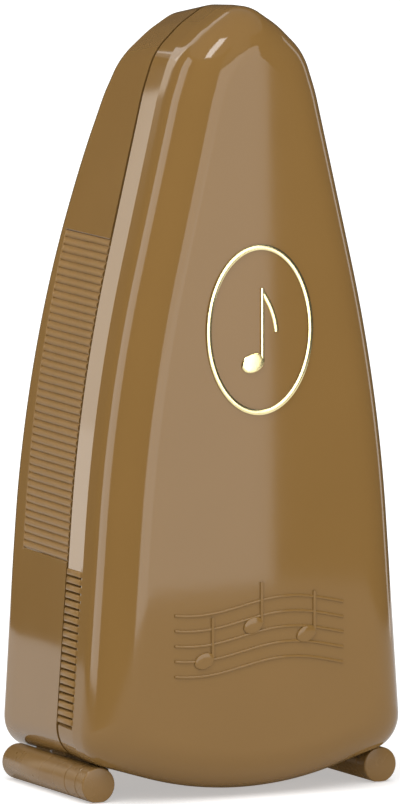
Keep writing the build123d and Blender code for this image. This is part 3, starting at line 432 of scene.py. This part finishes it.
def build_case():
    """Case shell with finger grips on both flanks, a rounded rear edge and the lip inside the cover."""
    ribs = round((RIB_HIGH - RIB_LOW) / RIB_PITCH)
    local = np.array([0.0, 0.05, 0.13, 0.24, 0.37, 0.5, 0.63, 0.76, 0.87, 0.95])
    fine = [RIB_LOW + RIB_PITCH * (index + local) for index in range(ribs)]
    top = RIB_LOW + RIB_PITCH * ribs
    side_z = np.concatenate([np.linspace(SIDE_LOW, RIB_LOW - 1.2, 14), [RIB_LOW - 0.3, RIB_LOW - 0.06], *fine,
                             [top, top + 0.06, top + 0.3], np.linspace(top + 1.2, SIDE_HIGH, 10)])
    outlines = Outlines(side_z)
    half = outlines.count
    is_side = np.zeros(half, bool)
    is_side[SIDE_START:SIDE_START + len(side_z)] = True
    z_rest = outlines.at(0.0)[:, 1]
    dips = np.where(is_side, rib_dip(z_rest), 0.0)
    b = Builder()

    def fillet_path(base, depth, corner):
        """Inset and depth along the rounded rear edge, for each row."""
        s = np.full(half, base + corner)
        for _ in range(12):
            rows = outlines.at(s)
            slope = (rear_profile(rows[:, 1] + 0.05) - rear_profile(rows[:, 1] - 0.05)) / 0.1
            step = outlines.at(s + 0.05) - outlines.at(s - 0.05)
            m = slope * step[:, 1] / 0.1
            mu = np.arctan(m)
            y = rear_profile(rows[:, 1]) - depth - corner / np.cos(mu)
            s = base + (y - PARTING_Y) * CASE_LEAN + corner / math.cos(CASE_DRAFT)
        return s, y, mu

    s_c, y_c, mu = fillet_path(0.0, 0.0, REAR_CORNER_R)
    rings = []
    y_start = y_c + REAR_CORNER_R * math.sin(CASE_DRAFT)
    front = PARTING_Y + 0.5
    stations = [(front, 1.0), (front + 0.35, 1.0), (0.0, 1.0), (8.0, 1.0), (RIB_END_Y - 0.6, 1.0),
                (RIB_END_Y - 0.3, 0.9), (RIB_END_Y - 0.1, 0.6), (RIB_END_Y, 0.0), (RIB_END_Y + 0.08, 0.0),
                (RIB_END_Y + 0.3, 0.0)]
    for y, share in stations:
        part = (y - PARTING_Y) / (RIB_END_Y + 1.0 - PARTING_Y)
        limit = np.minimum(y, PARTING_Y + (y_start - PARTING_Y) * part)
        keep = np.where(is_side & (z_rest > 30) & (z_rest < 114), y, limit)
        keep = np.minimum(keep, y_start - 0.05)
        inset = (keep - PARTING_Y) * CASE_LEAN + dips * share
        rings.append(full_ring(b, level_base(outlines.at(inset), (keep - PARTING_Y) * CASE_LEAN), keep))
    steps = 12
    flat_angle = math.pi - CASE_DRAFT
    for k in range(steps + 1):
        angle = flat_angle + (math.pi / 2 + mu - flat_angle) * k / steps
        y = y_c + REAR_CORNER_R * np.sin(angle)
        rows = outlines.at(s_c + REAR_CORNER_R * np.cos(angle))
        if k == steps:
            y = rear_profile(rows[:, 1])
        rings.append(full_ring(b, level_base(rows, (y - PARTING_Y) * CASE_LEAN), y))
    for one, two in zip(rings, rings[1:]):
        b.strip(two, one)
    cap(b, rings[-1], half, 22, lambda x, z, y0: float(rear_profile(z + roof_fall(z, y0))))

    lip_y = PARTING_Y - LIP_LENGTH
    path = [(LIP_STEP, front), (LIP_STEP, lip_y + 0.15), (LIP_STEP + 0.15, lip_y), (LIP_BACK, lip_y),
            (LIP_BACK, PARTING_Y - 0.2), (CASE_WALL, PARTING_Y)]
    inner = [rings[0]] + [full_ring(b, outlines.at(inset), y) for inset, y in path]
    inner_r = 2.4
    s_i, y_i, mu_i = fillet_path(CASE_WALL, CASE_WALL, inner_r)
    for share in (0.3, 0.6, 0.9):
        y = PARTING_Y + (y_i - PARTING_Y) * share
        draft = (y - PARTING_Y) * CASE_LEAN
        inner.append(full_ring(b, level_base(outlines.at(CASE_WALL + draft), draft), y))
    for k in range(5):
        angle = flat_angle + (math.pi / 2 + mu_i - flat_angle) * k / 4
        rows = outlines.at(s_i + inner_r * np.cos(angle))
        y = y_i + inner_r * np.sin(angle)
        if k == 4:
            y = rear_profile(rows[:, 1]) - CASE_WALL
        inner.append(full_ring(b, level_base(rows, (y - PARTING_Y) * CASE_LEAN), y))
    for one, two in zip(inner, inner[1:]):
        b.strip(one, two)
    cap(b, inner[-1], half, 12, lambda x, z, y0: float(rear_profile(z + roof_fall(z, y0))) - CASE_WALL)
    for ring in (rings[0], inner[1], inner[2], inner[4]):
        b.crease(ring)
    piece = b.object("case_shell")
    loose_clean(piece)
    return piece


LATHE_SEGMENTS = 96


def lathe(name, profile, centre_z, closed=False):
    """Turns (radius, y) rows about an axis along Y at height centre_z."""
    b = Builder()
    rings = []
    turns = [2 * math.pi * k / LATHE_SEGMENTS for k in range(LATHE_SEGMENTS)]
    for radius, y in profile:
        rings.append(b.add([(radius * math.cos(turn), y, centre_z + radius * math.sin(turn))
                            for turn in turns]))
    for one, two in zip(rings, rings[1:]):
        b.strip(one, two)
    if closed:
        b.strip(rings[-1], rings[0])
    else:
        b.faces.append(tuple(rings[0]))
        b.faces.append(tuple(reversed(rings[-1])))
    piece = b.object(name)
    finish_mesh(piece, angle=30)
    return piece


def cut(piece, tool):
    """Takes the tool's volume out of the piece and removes the tool."""
    modifier = piece.modifiers.new("cut", "BOOLEAN")
    modifier.operation = "DIFFERENCE"
    modifier.solver = "EXACT"
    modifier.object = tool
    depsgraph = bpy.context.evaluated_depsgraph_get()
    made = bpy.data.meshes.new_from_object(piece.evaluated_get(depsgraph))
    piece.modifiers.clear()
    piece.data = made
    bpy.data.objects.remove(tool)


def build_dish():
    """Round recess that the winding key turns in, with a rounded mouth."""
    floor = KEY_FRONT_Y - 0.5
    profile = [(1.8, floor), (3.2, floor), (15.6, floor), (16.3, floor + 0.15), (16.8, floor + 0.6),
               (17.0, floor + 1.4), (17.0, REAR_Y - 0.5), (17.1, REAR_Y - 0.2), (17.3, REAR_Y - 0.03),
               (DISH_R, REAR_Y), (17.9, REAR_Y - 0.4), (19.4, REAR_Y - 2.0), (19.4, floor - 2.4),
               (1.8, floor - 2.4)]
    return lathe("case_key_dish", profile, KEY_Z, closed=True)


def build_saddle(side, low_rows):
    """Plastic bed that carries the body on a foot bar and closes the gap between them."""
    inner_x, top_x, outer_x, low_z = 28.5, 30.6, 30.9, 4.6
    b = Builder()
    rings = []
    for y in (-16.6, -16.4, CREASE_Y, -10.5, -7.3, PARTING_Y + 0.1, PARTING_Y + 0.4, 2.0, 8.0, 11.2, 11.6):
        under_cover = y < PARTING_Y + 0.2
        if under_cover:
            flare = min((PARTING_Y - y) * COVER_LEAN, WIDEN)
            rows, gap = low_rows.at(-flare), 0.07
        else:
            draft = (y - PARTING_Y) * CASE_LEAN
            rows, gap = level_base(low_rows.at(draft), draft), -0.12
        end = 0.25 if y in (-16.6, 11.6) else 0.0
        bottom = rows[:SIDE_START - 3]
        xs = np.linspace(inner_x, top_x, 6)
        top = [(x, np.interp(x, bottom[:, 0], bottom[:, 1]) - gap - end) for x in xs]
        profile = [(inner_x, low_z)] + top + [(outer_x, low_z)]
        rings.append(b.add([(side * x, y, z) for x, z in profile]))
    for one, two in zip(rings, rings[1:]):
        b.strip(one, two)
    b.faces.append(tuple(rings[0]))
    b.faces.append(tuple(reversed(rings[-1])))
    piece = b.object("foot_saddle_right" if side > 0 else "foot_saddle_left")
    finish_mesh(piece, angle=35)
    return piece


def build_foot(side):
    """Foot bar with a collar at its front end, a flat underside and the tab that seats in the case."""
    radius, axis_z, groove, slope = 3.65, 3.45, 0.11, 0.12
    front = [(3.2, 0.0), (3.48, 0.08), (radius, 0.3)]
    for near, far in ((3.4, 3.86), (8.4, 8.82)):
        front += [(radius, near), (radius - groove, near + slope)]
        front += [(radius - groove, far - slope), (radius, far)]
    rows = [(r, y - FOOT_HALF) for r, y in front]
    rows += [(radius, 0.0), (radius, FOOT_HALF - 0.5), (3.48, FOOT_HALF - 0.12), (3.1, FOOT_HALF)]
    segments = 72
    b = Builder()
    rings = []
    for r, y in rows:
        points = []
        for k in range(segments):
            angle = 2 * math.pi * k / segments
            points.append((side * FOOT_X + r * math.cos(angle), y, max(0.0, axis_z + r * math.sin(angle))))
        rings.append(b.add(points))
    for one, two in zip(rings, rings[1:]):
        b.strip(one, two)
    b.faces.append(tuple(rings[0]))
    b.faces.append(tuple(reversed(rings[-1])))
    tab_x, tab_w, tab_y, tab_l, tab_top = FOOT_X - radius, 2.3, 6.0, 14.0, 11.0
    corners = []
    for z, grow in ((axis_z, 0.0), (tab_top - 0.3, 0.0), (tab_top, -0.3)):
        x0, x1 = side * (tab_x - grow), side * (tab_x + tab_w + grow)
        y0, y1 = tab_y - tab_l / 2 - grow, tab_y + tab_l / 2 + grow
        corners.append(b.add([(x0, y0, z), (x1, y0, z), (x1, y1, z), (x0, y1, z)]))
    for one, two in zip(corners, corners[1:]):
        b.strip(one, two)
    b.faces.append(tuple(reversed(corners[0])))
    b.faces.append(tuple(corners[-1]))
    piece = b.object("foot_bar_right" if side > 0 else "foot_bar_left")
    finish_mesh(piece, angle=28)
    return piece


# ---------------------------------------------------------------- badge and raised ornament
SINK = 0.12                # how far raised shapes run into the cover


def ridge(b, path, width, height):
    """Raised rounded strip along a path of (x, z) points on the cover's front."""
    path = np.array(path, float)
    tangent = np.gradient(path, axis=0)
    tangent /= np.linalg.norm(tangent, axis=1)[:, None]
    normal = np.column_stack([-tangent[:, 1], tangent[:, 0]])
    across = [(-1.0, -SINK), (-0.93, height * 0.45), (-0.72, height * 0.88), (-0.5, height),
              (0.0, height * 1.02), (0.5, height), (0.72, height * 0.88), (0.93, height * 0.45),
              (1.0, -SINK)]
    rings = []
    for (x, z), (nx, nz) in zip(path, normal):
        points = []
        for share, lift in across:
            px, pz = x + nx * share * width / 2, z + nz * share * width / 2
            points.append((px, front_y(px, pz) - lift, pz))
        rings.append(b.add(points))
    for one, two in zip(rings, rings[1:]):
        b.strip(one, two)
    b.faces.append(tuple(rings[0]))
    b.faces.append(tuple(reversed(rings[-1])))


def pad(b, outline_points, centre, height):
    """Raised, slightly domed shape on the cover's front, from an outline around a centre."""
    edge = 0.18
    cx, cz = centre
    rings = []
    section = [(1.0, -SINK), (1.0, height * 0.55), (1 - edge * 0.35, height * 0.9), (1 - edge, height),
               (0.66, height * 1.05), (0.4, height * 1.08), (0.2, height * 1.09)]
    for share, rise in section:
        inner = [(cx + (x - cx) * share, cz + (z - cz) * share) for x, z in outline_points]
        rings.append(b.add([(x, front_y(x, z) - rise, z) for x, z in inner]))
    middle = b.add([(cx, front_y(cx, cz) - height * 1.1, cz)])[0]
    base = b.add([(cx, front_y(cx, cz) + SINK, cz)])[0]
    for one, two in zip(rings, rings[1:]):
        b.strip(one, two)
    count = len(rings[0])
    for k in range(count):
        b.faces.append((rings[-1][k], rings[-1][(k + 1) % count], middle))
        b.faces.append((rings[0][(k + 1) % count], rings[0][k], base))


def ellipse(cx, cz, rx, rz, tilt=0.0, count=40):
    c, s = math.cos(tilt), math.sin(tilt)
    points = []
    for k in range(count):
        a = 2 * math.pi * k / count
        x, z = rx * math.cos(a), rz * math.sin(a)
        points.append((cx + x * c - z * s, cz + x * s + z * c))
    return points


def build_badge():
    """Gilt oval ring and plain quaver, bent to the cover's front."""
    b = Builder()
    cz, ring_x, ring_z = 95.2, 11.45, 16.7
    turns = np.linspace(0, 2 * math.pi, 121)[:-1]
    band = [(math.cos(a) * ring_x, cz + math.sin(a) * ring_z) for a in turns]
    rings = []
    lifts = [(-0.55, -0.1), (-0.55, 0.30), (-0.42, 0.40), (0.0, 0.43), (0.42, 0.40), (0.55, 0.30),
             (0.55, -0.1)]
    for share, lift in lifts:
        points = []
        for k, (x, z) in enumerate(band):
            nxt, prev = np.array(band[(k + 1) % len(band)]), np.array(band[k - 1])
            tangent = nxt - prev
            tangent /= np.linalg.norm(tangent)
            px, pz = x + tangent[1] * share, z - tangent[0] * share
            points.append((px, front_y(px, pz) - lift, pz))
        rings.append(b.add(points))
    for one, two in zip(rings, rings[1:]):
        b.strip(one, two)
    b.strip(rings[-1], rings[0])
    top = cz + 8.6
    pad(b, ellipse(-1.5, cz - 6.7, 2.6, 1.9, math.radians(20)), (-1.5, cz - 6.7), 0.40)
    ridge(b, [(0.55, z) for z in np.linspace(cz - 6.4, top - 0.2, 12)], 0.9, 0.38)
    tail = []
    for t in np.linspace(0, 1, 16):
        x = 0.6 + 3.1 * math.sin(t * 1.5)
        z = top - 1.1 - 8.0 * t**1.15
        tail.append((x, z))
    ridge(b, tail, 1.15, 0.36)
    piece = b.object("badge_ring_and_note")
    finish_mesh(piece, angle=35)
    return piece


def build_ornament():
    """Plain raised music stave with three notes, in the cover's own plastic."""
    b = Builder()
    half, middle_z, spacing, swell = 19, 33.2, 3.1, 1.5

    def wave(x, level):
        return middle_z + level * spacing + swell * math.sin((x + 4) / half * math.pi * 0.9)

    xs = np.linspace(-half, half, 60)
    for level in (-2, -1, 0, 1, 2):
        ridge(b, [(x, wave(x, level)) for x in xs], 0.62, 0.26)
    for x, level in ((-12.5, -1.0), (-1.5, 0.5), (10.5, -0.5)):
        z = wave(x, level)
        pad(b, ellipse(x, z, 2.25, 1.6, math.radians(22)), (x, z), 0.46)
        stem_x = x + 1.9
        ridge(b, [(stem_x, z + 0.3 + t * 8.4) for t in np.linspace(0, 1, 8)], 0.75, 0.42)
    piece = b.object("cover_raised_stave")
    finish_mesh(piece, angle=40)
    return piece


# ---------------------------------------------------------------- print on the tempo scale
def build_scale_print():
    """Numbers and ticks of a plain tempo scale."""
    tempos = [*range(40, 60, 2), *range(60, 72, 3), *range(72, 120, 4), *range(120, 144, 6),
              *range(144, 209, 8)]
    top_z, low_z = SCALE_HIGH.z / MM - 3.0, SCALE_LOW.z / MM + 3.0
    y = SCALE_LOW.y / MM - 0.03
    points, faces = [], []

    def quad(x0, x1, z0, z1):
        start = len(points)
        for yy in (y, y + 0.02):
            points.extend([(x0 * MM, yy * MM, z0 * MM), (x1 * MM, yy * MM, z0 * MM),
                           (x1 * MM, yy * MM, z1 * MM), (x0 * MM, yy * MM, z1 * MM)])
        for face in ((0, 1, 2, 3), (7, 6, 5, 4), (0, 4, 5, 1), (1, 5, 6, 2), (2, 6, 7, 3), (3, 7, 4, 0)):
            faces.append(tuple(start + i for i in face))

    for index, tempo in enumerate(tempos):
        z = top_z + (low_z - top_z) * index / (len(tempos) - 1)
        side = -1 if index % 2 == 0 else 1
        quad(*sorted((side * 1.9, side * 3.1)), z - 0.08, z + 0.08)
        curve = bpy.data.curves.new("number", "FONT")
        curve.body = str(tempo)
        curve.size = 2.0 * MM
        curve.extrude = 0.01 * MM
        curve.align_x = "LEFT" if side > 0 else "RIGHT"
        curve.align_y = "CENTER"
        text = bpy.data.objects.new("number", curve)
        text.rotation_euler = (math.pi / 2, 0, 0)
        text.location = (side * 3.6 * MM, y * MM, z * MM)
        bpy.context.scene.collection.objects.link(text)
        bpy.context.view_layer.update()
        mesh = bpy.data.meshes.new_from_object(text.evaluated_get(bpy.context.evaluated_depsgraph_get()))
        mesh.transform(text.matrix_world)
        start = len(points)
        points.extend(tuple(v.co) for v in mesh.vertices)
        faces.extend(tuple(start + i for i in p.vertices) for p in mesh.polygons)
        bpy.data.objects.remove(text)
        bpy.data.meshes.remove(mesh)
        bpy.data.curves.remove(curve)
    mesh = bpy.data.meshes.new("scale_print")
    mesh.from_pydata(points, [], faces)
    mesh.update()
    piece = bpy.data.objects.new("scale_print", mesh)
    bpy.context.scene.collection.objects.link(piece)
    return piece


# ---------------------------------------------------------------- materials
def srgb(r, g, b):
    values = []
    for v in (r, g, b):
        v /= 255
        values.append(v / 12.92 if v <= 0.04045 else ((v + 0.055) / 1.055) ** 2.4)
    return (*values, 1.0)


def shade(colour, factor):
    return (*[c * factor for c in colour[:3]], 1.0)


def material(name, colour, second, rough, scale=60.0, metallic=0.0, bump=0.02, bump_scale=900.0, ior=1.45,
             rough_span=0.04, stretch=(1, 1, 1)):
    """Surface whose colour, gloss and fine relief vary with noise at two scales."""
    made = bpy.data.materials.new(name)
    made.use_nodes = True
    tree = made.node_tree
    shader = tree.nodes["Principled BSDF"]
    coords = tree.nodes.new("ShaderNodeTexCoord")
    mapping = tree.nodes.new("ShaderNodeMapping")
    mapping.inputs["Scale"].default_value = stretch
    tree.links.new(coords.outputs["Object"], mapping.inputs["Vector"])
    clouds = tree.nodes.new("ShaderNodeTexNoise")
    clouds.inputs["Scale"].default_value = scale
    clouds.inputs["Detail"].default_value = 4.0
    tree.links.new(mapping.outputs["Vector"], clouds.inputs["Vector"])
    ramp = tree.nodes.new("ShaderNodeValToRGB")
    ramp.color_ramp.elements[0].position = 0.3
    ramp.color_ramp.elements[0].color = colour
    ramp.color_ramp.elements[1].position = 0.7
    ramp.color_ramp.elements[1].color = second
    tree.links.new(clouds.outputs["Fac"], ramp.inputs["Fac"])
    tree.links.new(ramp.outputs["Color"], shader.inputs["Base Color"])
    spread = tree.nodes.new("ShaderNodeMapRange")
    spread.inputs["To Min"].default_value = rough - rough_span
    spread.inputs["To Max"].default_value = rough + rough_span
    tree.links.new(clouds.outputs["Fac"], spread.inputs["Value"])
    tree.links.new(spread.outputs["Result"], shader.inputs["Roughness"])
    grain = tree.nodes.new("ShaderNodeTexNoise")
    grain.inputs["Scale"].default_value = bump_scale
    grain.inputs["Detail"].default_value = 3.0
    tree.links.new(mapping.outputs["Vector"], grain.inputs["Vector"])
    relief = tree.nodes.new("ShaderNodeBump")
    relief.inputs["Strength"].default_value = bump
    relief.inputs["Distance"].default_value = 0.0002
    tree.links.new(grain.outputs["Fac"], relief.inputs["Height"])
    tree.links.new(relief.outputs["Normal"], shader.inputs["Normal"])
    shader.inputs["Metallic"].default_value = metallic
    shader.inputs["IOR"].default_value = ior
    return made


CARAMEL = srgb(109, 82, 44)
PLASTIC_IOR = 1.38


def moulded(name, low, high, rough, **look):
    """Caramel plastic whose shade varies between two factors."""
    return material(name, shade(CARAMEL, low), shade(CARAMEL, high), rough, **{"ior": PLASTIC_IOR, **look})


gloss = moulded("moulded_gloss", 1.0, 1.03, 0.07, bump=0.012, bump_scale=500, rough_span=0.015)
satin = moulded("moulded_satin", 1.0, 1.04, 0.07, bump=0.006, bump_scale=700, rough_span=0.015)
foot_plastic = moulded("moulded_foot", 0.98, 1.03, 0.27, bump=0.03, bump_scale=1200)
# painted light: a lighter copy of the caramel for the finger ribs, with a rougher finish
grip_painted_light = moulded("moulded_grip_painted_light", 1.14, 1.2, 0.3, bump=0.03, bump_scale=1500, ior=1.26)
# painted shade: a darker copy of the caramel for the saddles, so the gap between the body and the foot bars
# looks dark
painted_gap_shade = moulded("moulded_painted_gap_shade", 0.42, 0.48, 0.6, bump=0.03, bump_scale=1500, ior=1.2)
gilt = material("gilt_foil", srgb(246, 228, 164), srgb(252, 238, 184), 0.22, metallic=1.0, bump=0.04,
                bump_scale=2500)
ivory = material("ivory_plastic", srgb(226, 216, 190), srgb(232, 223, 198), 0.42, bump=0.04, bump_scale=1400)
black_plastic = material("black_plastic", srgb(34, 32, 30), srgb(42, 40, 37), 0.4, bump=0.05, bump_scale=1800)
printed = material("print_ink", srgb(24, 22, 20), srgb(36, 33, 30), 0.55, bump=0.02)
plate_metal = material("scale_satin_metal", srgb(206, 204, 198), srgb(218, 216, 210), 0.38, metallic=1.0,
                       bump=0.05, bump_scale=600, stretch=(1, 1, 14))
steel = material("polished_steel", srgb(196, 197, 200), srgb(212, 213, 215), 0.24, metallic=1.0, bump=0.04,
                 bump_scale=1500, stretch=(6, 1, 1))
screw_steel = material("screw_steel", srgb(186, 187, 190), srgb(204, 205, 208), 0.3, metallic=1.0, bump=0.06,
                       bump_scale=2500)
blued = material("blued_spring", srgb(84, 92, 118), srgb(104, 110, 134), 0.3, metallic=1.0, bump=0.05,
                 bump_scale=1600)
chrome = material("plated_weight", srgb(226, 226, 228), srgb(236, 236, 238), 0.1, metallic=1.0, bump=0.015,
                  bump_scale=700, rough_span=0.02)
iron = material("blackened_iron", srgb(62, 62, 64), srgb(82, 82, 84), 0.5, metallic=0.8, bump=0.22,
                bump_scale=900)
brass = material("lacquered_brass", srgb(206, 172, 98), srgb(218, 184, 110), 0.27, metallic=1.0, bump=0.06,
                 bump_scale=900, stretch=(12, 1, 1))
turned = material("turned_brass", srgb(212, 178, 102), srgb(222, 190, 116), 0.22, metallic=1.0, bump=0.04,
                  bump_scale=1800)

SLOT_MATERIALS = {
    "body_plastic": satin, "cover_plastic": gloss, "foot_plastic": foot_plastic, "key_plastic": gloss,
    "badge_gold": gilt, "panel_plastic": ivory, "clip_plastic": black_plastic, "scale_aluminium": plate_metal,
    "steel_screws": screw_steel, "bright_steel": steel, "spring_steel": blued, "weight_chrome": chrome,
    "bob_iron": iron, "brass_plates": brass, "brass_parts": turned,
}
for entry in frame["record"]["subparts"]:
    node = frame["nodes"][entry["node"]]
    node.data.materials.clear()
    node.data.materials.append(SLOT_MATERIALS[entry["material_slot"]])


def grip_faces(piece, look, low, high, y_from, y_to, least_x):
    """Gives the finger grips on both flanks their own, finely textured look, in a lighter caramel that is
    painted light on the ribs.
    """
    piece.data.materials.append(look)
    for face in piece.data.polygons:
        x, y, z = (v / MM for v in face.center)
        if low < z < high and y_from < y < y_to and abs(x) > least_x(z):
            face.material_index = 1


def place(piece, body, look, slot, *nodes):
    """Gives a piece its look and its body, and hides the CAD nodes that it stands for."""
    piece.data.materials.clear()
    piece.data.materials.append(look)
    if nodes:
        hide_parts(*nodes)
    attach(piece, body)
    return piece


# ---------------------------------------------------------------- pieces
cover_shell = place(build_cover(), "cover", gloss, "cover_plastic", "front_cover")
grip_faces(cover_shell, grip_painted_light, COVER_RIB_LOW, COVER_RIB_TOP, COVER_RIB_END_Y + 0.05, -7.0,
           lambda z: half_width(z) - 1.3)
place(build_badge(), "cover", gilt, "badge_gold", "cover_badge")
place(build_ornament(), "cover", gloss, "cover_plastic")

case_shell = build_case()
cut(case_shell, lathe("dish_cutter", [(DISH_R, REAR_Y - 4.0), (DISH_R, REAR_Y + 5.0)], KEY_Z))
for edge in case_shell.data.edges:
    rim = [case_shell.data.vertices[index].co / MM for index in edge.vertices]
    if all(abs(math.hypot(x, z - KEY_Z) - DISH_R) < 0.02 and y > REAR_Y - 0.05 for x, y, z in rim):
        edge.use_edge_sharp = True
place(case_shell, "case", satin, "body_plastic", "rear_case")
grip_faces(case_shell, grip_painted_light, RIB_LOW, RIB_HIGH, PARTING_Y, RIB_END_Y, lambda z: half_width(z) - 3.2)
place(build_dish(), "case", satin, "body_plastic")
place(build_foot(1), "case", foot_plastic, "foot_plastic", "foot_right")
place(build_foot(-1), "case", foot_plastic, "foot_plastic", "foot_left")
low_outline = Outlines(np.linspace(SIDE_LOW, SIDE_HIGH, 40), -0.6, 3.0)
# saddles in the darker caramel: painted shade between the body and the foot bars
for side in (1, -1):
    place(build_saddle(side, low_outline), "case", painted_gap_shade, "body_plastic")
place(build_scale_print(), "case", printed, "clip_plastic")

# ---------------------------------------------------------------- floor, light and camera
FLOOR_LIGHT = 0.42         # what the floor itself gives off, which reflections don't see
FLOOR_HALF, FLOOR_Z = 9, -0.0002
floor_mesh = bpy.data.meshes.new("floor")
floor_corners = [(x * FLOOR_HALF, y * FLOOR_HALF, FLOOR_Z) for x, y in ((-1, -1), (1, -1), (1, 1), (-1, 1))]
floor_mesh.from_pydata(floor_corners, [], [(0, 1, 2, 3)])
floor = bpy.data.objects.new("floor", floor_mesh)
bpy.context.scene.collection.objects.link(floor)
pale_floor = material("pale_floor", (0.88, 0.88, 0.88, 1), (0.89, 0.89, 0.89, 1), 0.7, bump=0.0, scale=4.0)
floor.data.materials.append(pale_floor)
glow = pale_floor.node_tree.nodes["Principled BSDF"]
glow.inputs["Emission Color"].default_value = (1.0, 1.0, 1.0, 1.0)
floor_path = pale_floor.node_tree.nodes.new("ShaderNodeLightPath")
floor_level = pale_floor.node_tree.nodes.new("ShaderNodeMapRange")
floor_level.inputs["To Min"].default_value = FLOOR_LIGHT
floor_level.inputs["To Max"].default_value = 0.0
pale_floor.node_tree.links.new(floor_path.outputs["Is Glossy Ray"], floor_level.inputs["Value"])
pale_floor.node_tree.links.new(floor_level.outputs["Result"], glow.inputs["Emission Strength"])

WORLD_LIGHT = 0.42         # the camera sees the world at full white
world = bpy.data.worlds.new("studio")
world.use_nodes = True
sky = world.node_tree.nodes["Background"]
sky.inputs["Color"].default_value = (1.0, 1.0, 1.0, 1.0)
world_path = world.node_tree.nodes.new("ShaderNodeLightPath")
level = world.node_tree.nodes.new("ShaderNodeMapRange")
level.inputs["To Min"].default_value = WORLD_LIGHT
level.inputs["To Max"].default_value = 1.0
world.node_tree.links.new(world_path.outputs["Is Camera Ray"], level.inputs["Value"])
world.node_tree.links.new(level.outputs["Result"], sky.inputs["Strength"])
bpy.context.scene.world = world


def polar_place(azimuth, distance, height):
    """Point around the object; azimuth 0 is in front and grows to the right."""
    a = math.radians(azimuth)
    return Vector((distance * math.sin(a), -distance * math.cos(a), height))


def panel_light(name, azimuth, distance, low, high, width, radiance, aim=None, shift=0.0):
    """Upright rectangular softbox that faces the object, or one aimed at a point; shift moves it sideways."""
    height = (low + high) / 2
    data = bpy.data.lights.new(name, "AREA")
    data.shape = "RECTANGLE"
    data.size = width
    data.size_y = high - low
    data.energy = radiance * math.pi * width * (high - low)
    light = bpy.data.objects.new(name, data)
    aside = polar_place(azimuth + 90, shift, 0)
    light.location = polar_place(azimuth, distance, height) + aside
    target = aim if aim is not None else Vector((0, 0, height)) + aside
    light.rotation_mode = "QUATERNION"
    light.rotation_quaternion = (target - light.location).to_track_quat("-Z", "Y")
    light.visible_camera = False
    light.light_linking.receiver_collection = not_floor
    bpy.context.scene.collection.objects.link(light)
    return light


def flag(name, start, end, distance, low, high):
    """Dark curved card that only reflections see, like the black flags around a glossy product."""
    count = 24
    points = []
    for k in range(count + 1):
        azimuth = start + (end - start) * k / count
        points.append(polar_place(azimuth, distance, low))
        points.append(polar_place(azimuth, distance, high))
    mesh = bpy.data.meshes.new(name)
    mesh.from_pydata(points, [], [(2 * k, 2 * k + 2, 2 * k + 3, 2 * k + 1) for k in range(count)])
    card = bpy.data.objects.new(name, mesh)
    bpy.context.scene.collection.objects.link(card)
    card.data.materials.append(black_card)
    card.visible_camera = False
    card.visible_diffuse = False
    card.visible_shadow = False
    card.visible_transmission = False
    return card


black_card = material("black_card", (0.03, 0.03, 0.03, 1), (0.035, 0.035, 0.035, 1), 0.9, bump=0.0, ior=1.2)
flags = [flag("flag_front_right", 10, 100, 0.38, -0.001, 0.5), flag("flag_back", 100, 192, 0.38, -0.001, 0.5),
         flag("flag_left_back_low", 192, 205.5, 0.30, 0.005, 0.030),
         flag("flag_left_back_mid", 192, 203.7, 0.30, 0.030, 0.085),
         flag("flag_left_back_high", 192, 202.6, 0.30, 0.085, 0.24),
         flag("flag_left", -151, -15, 0.38, -0.001, 0.5)]
not_floor = bpy.data.collections.new("not_floor")
not_floor.objects.link(floor)
not_floor.collection_objects[0].light_linking.link_state = "EXCLUDE"

panel_light("front_softbox", 8.0, 0.30, 0.007, 0.26, 0.214, 3.1, shift=-0.013)
panel_light("left_strip", -107.3, 0.33, 0.011, 0.42, 0.14, 3.5)
panel_light("flank_card", -154.5, 0.33, 0.015, 0.38, 0.034, 1.8).data.color = (1.0, 0.95, 0.86)
panel_light("right_rim", 105.0, 0.33, 0.0, 0.30, 0.05, 1.4)
panel_light("rib_light", -166, 0.75, 0.40, 0.95, 0.30, 1.6, aim=Vector((0, 0, 0.08)))
panel_light("key_light", -55, 0.57, 0.80, 1.10, 0.20, 14.0, aim=Vector((0, 0, 0.13)))

sun_data = bpy.data.lights.new("overhead", "SUN")
sun_data.energy = 2.3
sun_data.angle = math.radians(70)
sun = bpy.data.objects.new("overhead", sun_data)
sun.rotation_mode = "QUATERNION"
sun.rotation_quaternion = (-Vector((-0.25, -0.32, 0.91))).to_track_quat("-Z", "Y")
sun.visible_glossy = False
bpy.context.scene.collection.objects.link(sun)

camera_data = bpy.data.cameras.new("camera")
camera_data.lens = 410.35
camera_data.sensor_width = 36.0
camera_data.clip_end = 50.0
camera = bpy.data.objects.new("camera", camera_data)
bpy.context.scene.collection.objects.link(camera)
azimuth, elevation, distance = math.radians(-26.306), math.radians(6.277), 1.8722
level_out = Vector((math.sin(azimuth), -math.cos(azimuth), 0))
back = level_out * math.cos(elevation) + Vector((0, 0, math.sin(elevation)))
camera.location = Vector((0.000593, 0.0006, 0.077746)) + back * distance
camera.rotation_mode = "QUATERNION"
camera.rotation_quaternion = (-back).to_track_quat("-Z", "Y")
bpy.context.scene.camera = camera
bpy.context.scene.view_settings.view_transform = "Standard"
